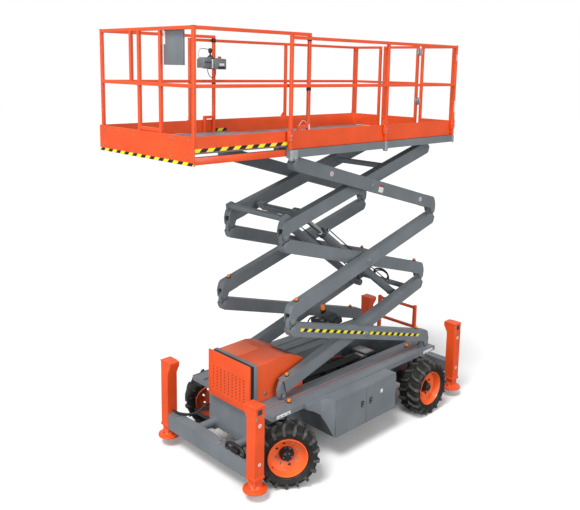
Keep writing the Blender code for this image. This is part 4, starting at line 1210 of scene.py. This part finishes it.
def roll_out_deck():
    """The roll-out deck with its toe boards, rails and striped edges."""
    dress("extension_deck", "grey", 0.003)
    floor = Build()
    lo, hi = low("extension_deck"), high("extension_deck")
    floor.box("deck", (lo.x + 0.004, hi.x - 0.004), around(0, EXT_DECK_HALF_Y),
              (hi.z - 0.004, hi.z + 0.0010), 0.0008)
    floor.finish("roll_out_tread", "extension", "deck")
    beams = Build()
    for _, side in SIDES:
        y = side * 0.7652
        beams.box("orange", (lo.x + 0.02, hi.x - 0.002), skin(y, side, 0.004, 0.0016), (3.489, 3.5555),
                  0.001)
    beams.finish("roll_out_beam_faces", "extension", "orange_paint")
    dress("extension_toe_boards", "orange", 0.0012)
    for node in ("extension_front_rail", "extension_side_rail_left", "extension_side_rail_right"):
        dress(node, "orange", 0.004, 3)
    stripes = Build()
    toe_lo, toe_hi = low("extension_toe_boards"), high("extension_toe_boards")
    stripes.box("hazard_y", (toe_hi.x - 0.001, toe_hi.x + 0.0009), (toe_lo.y + 0.004, toe_hi.y - 0.004),
                (toe_lo.z + 0.002, toe_lo.z + 0.030))
    for _, side in SIDES:
        y = side * 0.7795
        stripes.box("hazard_x", (lo.x + 0.03, toe_hi.x - 0.02), skin(y, side, 0.0005, 0.0009),
                    (3.600, 3.632))
    for y in (-0.70, 0.70, -0.45, 0.45):
        for z in (toe_lo.z + 0.06, toe_hi.z - 0.035):
            bolt(stripes, (toe_hi.x, y, z), (1, 0, 0), 0.008, 0.005)
    stripes.finish("roll_out_stripes", "extension", "orange_paint")
    rail_fittings()
    control_box()
    document_box()


def rail_fittings():
    """Caps, screws, pins and lanyards on the roll-out deck's rails."""
    flo, fhi = low("extension_front_rail"), high("extension_front_rail")
    x = (flo.x + fhi.x) / 2
    trim = Build()
    for y in (-EXT_POST_Y, EXT_POST_Y):
        trim.box("black", around(x, RAIL / 2 + 0.001), around(y, RAIL / 2 + 0.001),
                 (fhi.z - 0.003, fhi.z + 0.0008), 0.001)
        for dz in (0.02, 0.09):
            bolt(trim, (x, y + math.copysign(RAIL / 2, y), TOE_TOP - 0.02 - dz),
                 (0, math.copysign(1, y), 0), 0.008, 0.005)
    for y in (-0.086, 0.263, -EXT_POST_Y + 0.04, EXT_POST_Y - 0.04):
        trim.rod("zinc", (x + RAIL / 2, y, 4.155), (x + RAIL / 2 + 0.010, y, 4.155), 0.007, 14)
    for _, side in SIDES:
        rear = low(f"extension_side_rail_{'left' if side > 0 else 'right'}").x
        y = side * EXT_POST_Y
        for z0, z1 in ((4.600, 4.646), (4.120, 4.153)):
            trim.box("black", (rear - 0.001, rear + RAIL + 0.001), around(y, RAIL / 2 + 0.001),
                     (z0, z1), 0.001)
        trim.box("white", (rear + 0.006, rear + 0.022), sorted((y + side * (RAIL / 2 - 0.001),
                                                                y + side * (RAIL / 2 + 0.0008))),
                                                                (3.66, 3.79))
        for z in (3.80, 4.10, 4.25):
            trim.rod("zinc", (rear + RAIL / 2, y + side * RAIL / 2, z),
                     (rear + RAIL / 2, y + side * (RAIL / 2 + 0.008), z), 0.006, 14)
        loop = [(rear + RAIL + 0.004, y + side * 0.004, 3.80), (rear + 0.09, y + side * 0.006, 3.83),
                (rear + 0.14, y + side * 0.006, 3.79), (rear + 0.13, y + side * 0.010, 3.75)]
        trim.tube("white", loop, 0.0022, 8)
    trim.finish("roll_out_fittings", "extension", "orange_paint")


def control_box():
    """Joystick box on the roll-out deck's rail: two halves, lever, stop button, guard and cable."""
    lo, hi = low("control_box"), high("control_box")
    build = Build()
    top = lo.z + 0.135
    centre_y = (lo.y + hi.y) / 2
    split = lo.x + 0.165
    build.prism("grey", [(lo.x, lo.z + 0.004), (split, lo.z + 0.004), (split, top - 0.004),
                         (lo.x, top - 0.016)], lo.y + 0.004, hi.y - 0.004, "Y", 0.005)
    build.prism("grey", [(split + 0.045, lo.z + 0.018), (hi.x, lo.z + 0.018), (hi.x, top - 0.022),
                         (hi.x - 0.03, top), (split + 0.045, top)], lo.y + 0.004, hi.y - 0.004, "Y", 0.005)
    build.box("dark", (split - 0.004, split + 0.049), (lo.y + 0.010, hi.y - 0.014),
              (lo.z + 0.01, top - 0.010), 0.002)
    build.box("white", (split + 0.012, split + 0.034), (hi.y - 0.015, hi.y - 0.012),
              (lo.z + 0.015, top - 0.02), 0.001)
    build.box("white", (lo.x + 0.03, lo.x + 0.10), (hi.y - 0.005, hi.y - 0.0035),
              (lo.z + 0.045, lo.z + 0.070))
    build.box("black", (lo.x + 0.02, lo.x + 0.12), (hi.y - 0.005, hi.y - 0.0030),
              (lo.z + 0.012, lo.z + 0.034), 0.001)
    build.rod("black", (lo.x + 0.010, centre_y, lo.z + 0.03), (lo.x - 0.004, centre_y, lo.z + 0.03), 0.016,
              20)
    stick = Vector((1.05 + MID_X, centre_y, top - 0.002))
    build.lathe("black", [(0.0, 0.0), (0.036, 0.0), (0.031, 0.008), (0.025, 0.014), (0.018, 0.022),
                          (0.010, 0.028), (0.009, 0.046), (0.020, 0.054), (0.024, 0.074), (0.021, 0.094),
                          (0.010, 0.1015), (0.0, 0.1025)], Matrix.Translation(stick), 28, closed=False)
    for k in range(4):
        x = hi.x - 0.025 - k * 0.026
        build.rod("black", (x, hi.y - 0.008, top - 0.055), (x, hi.y - 0.0005, top - 0.055), 0.009, 18,
                  bevel=0.001)
    build.rod("red", (lo.x + 0.05, centre_y, top - 0.020), (lo.x + 0.05, centre_y, top + 0.012), 0.019, 24,
              bevel=0.004)
    guard = [(hi.x - 0.012, lo.y + 0.02, top - 0.02), (hi.x - 0.016, lo.y + 0.02, top + 0.06),
             (hi.x - 0.040, lo.y + 0.02, top + 0.09), (stick.x + 0.01, lo.y + 0.02, top + 0.09),
             (stick.x - 0.03, lo.y + 0.02, top + 0.07), (stick.x - 0.032, lo.y + 0.02, top)]
    build.tube("zinc", guard, 0.0042, 12)
    cable = [(hi.x - 0.05, hi.y - 0.01, lo.z + 0.03), (hi.x - 0.06, hi.y + 0.004, lo.z - 0.04),
             (hi.x - 0.10, hi.y + 0.004, lo.z - 0.085), (hi.x - 0.16, hi.y, lo.z - 0.06),
             (hi.x - 0.17, hi.y - 0.01, lo.z + 0.02)]
    build.tube("hose", cable, 0.004, 8)
    build.box("zinc", (split - 0.03, split + 0.07), (lo.y - 0.001, lo.y + 0.006),
              (lo.z + 0.01, lo.z + 0.11), 0.001)
    build.finish("control_box_look", "extension", "grey_paint", replaces=["control_box"])


def document_box():
    """Flat box with a hinged lid on the roll-out deck's front rail."""
    lo, hi = low("manual_box"), high("manual_box")
    box = Build()
    box.box("grey", (lo.x, hi.x), (lo.y, hi.y), (lo.z, hi.z - 0.012), 0.003)
    box.box("grey", (lo.x, hi.x + 0.001), (lo.y, hi.y), (hi.z - 0.011, hi.z), 0.003)
    box.rod("black", (hi.x - 0.006, lo.y + 0.02, hi.z - 0.0115), (hi.x - 0.006, hi.y - 0.02, hi.z - 0.0115),
            0.003, 12)
    box.box("white", (hi.x - 0.001, hi.x + 0.0006), (lo.y - 0.002, lo.y + 0.030),
            (hi.z - 0.13, hi.z - 0.014))
    for y in (lo.y + 0.06, hi.y - 0.05):
        for z in (lo.z + 0.10, hi.z - 0.06):
            box.rod("zinc", (hi.x - 0.001, y, z), (hi.x + 0.0008, y, z), 0.006, 12)
    box.finish("manual_box_look", "extension", "grey_paint", replaces=["manual_box"])


# ------------------------------------------------------------------ stage
def area_light(name, place, target, size, power):
    data = bpy.data.lights.new(name, "AREA")
    data.shape = "RECTANGLE"
    data.size, data.size_y = size
    data.energy = power
    light = add_object(name, data)
    light.location = place
    light.rotation_euler = (Vector(target) - Vector(place)).to_track_quat("-Z", "Y").to_euler()


def stage():
    studio_floor()
    studio_world()
    lights()


def studio_floor():
    """A pale floor that throws back less light than it shows."""
    floor = Build()
    n = Nodes("studio_floor")
    pale = n.ramp(n.noise(0.5, 2.0), [(0.3, (0.93, 0.93, 0.93)), (0.7, (0.96, 0.96, 0.96))])
    mix = n.add("ShaderNodeMix", data_type="RGBA")
    n.link(n.add("ShaderNodeLightPath").outputs["Is Camera Ray"], mix.inputs["Factor"])
    mix.inputs["A"].default_value = (0.22, 0.22, 0.22, 1.0)
    n.link(pale, mix.inputs["B"])
    n.link(mix.outputs["Result"], n.shader.inputs["Base Color"])
    n.set(Roughness=0.8, Specular_IOR_Level=0.1)
    MATERIALS["floor"] = n.material
    floor.box("floor", around(0, FLOOR_HALF), around(0, FLOOR_HALF), (-0.02, -0.0005))
    floor.as_object("studio_floor")


def studio_world():
    """White to the camera, dimmer as a light."""
    world = bpy.data.worlds.new("studio")
    world.use_nodes = True
    tree = world.node_tree
    background = tree.nodes["Background"]
    path = tree.nodes.new("ShaderNodeLightPath")
    level = tree.nodes.new("ShaderNodeMapRange")
    level.inputs["To Min"].default_value = WORLD_LIGHT
    level.inputs["To Max"].default_value = 1.0
    tree.links.new(path.outputs["Is Camera Ray"], level.inputs["Value"])
    tree.links.new(level.outputs["Result"], background.inputs["Strength"])
    background.inputs["Color"].default_value = (1.0, 1.0, 1.0, 1.0)
    bpy.context.scene.world = world
    bpy.context.scene.view_settings.view_transform = "Standard"


def lights():
    """A wide sun from above the front, and two soft lamps at the side and front."""
    sun = bpy.data.lights.new("key", "SUN")
    sun.energy, sun.angle = SUN_LIGHT, SUN_WIDTH
    key = add_object("key", sun)
    key.rotation_euler = Vector(SUN_FROM).to_track_quat("Z", "Y").to_euler()
    area_light("side", (1.0, 11.0, 5.0), LIGHT_TARGET, (6.0, 6.0), 600)
    area_light("front", (11.0, 1.0, 3.5), LIGHT_TARGET, (5.0, 5.0), 500)


def camera():
    """The camera solved from the photograph."""
    data = bpy.data.cameras.new("camera")
    data.lens = CAMERA_LENS
    data.sensor_width = 36.0
    data.shift_x, data.shift_y = CAMERA_SHIFT
    eye = add_object("camera", data)
    eye.location = CAMERA_PLACE
    pitch, roll, heading = CAMERA_TURN
    eye.rotation_euler = (Matrix.Rotation(heading, 4, "Z") @ Matrix.Rotation(pitch, 4, "X")
                          @ Matrix.Rotation(roll, 4, "Z")).to_euler()
    bpy.context.scene.camera = eye


# ------------------------------------------------------------------ build
camera()
stage()
wheels()
running_gear()
chassis()
outriggers()
front_end()
cabinets()
ladder()
scissor()
platform()
roll_out_deck()
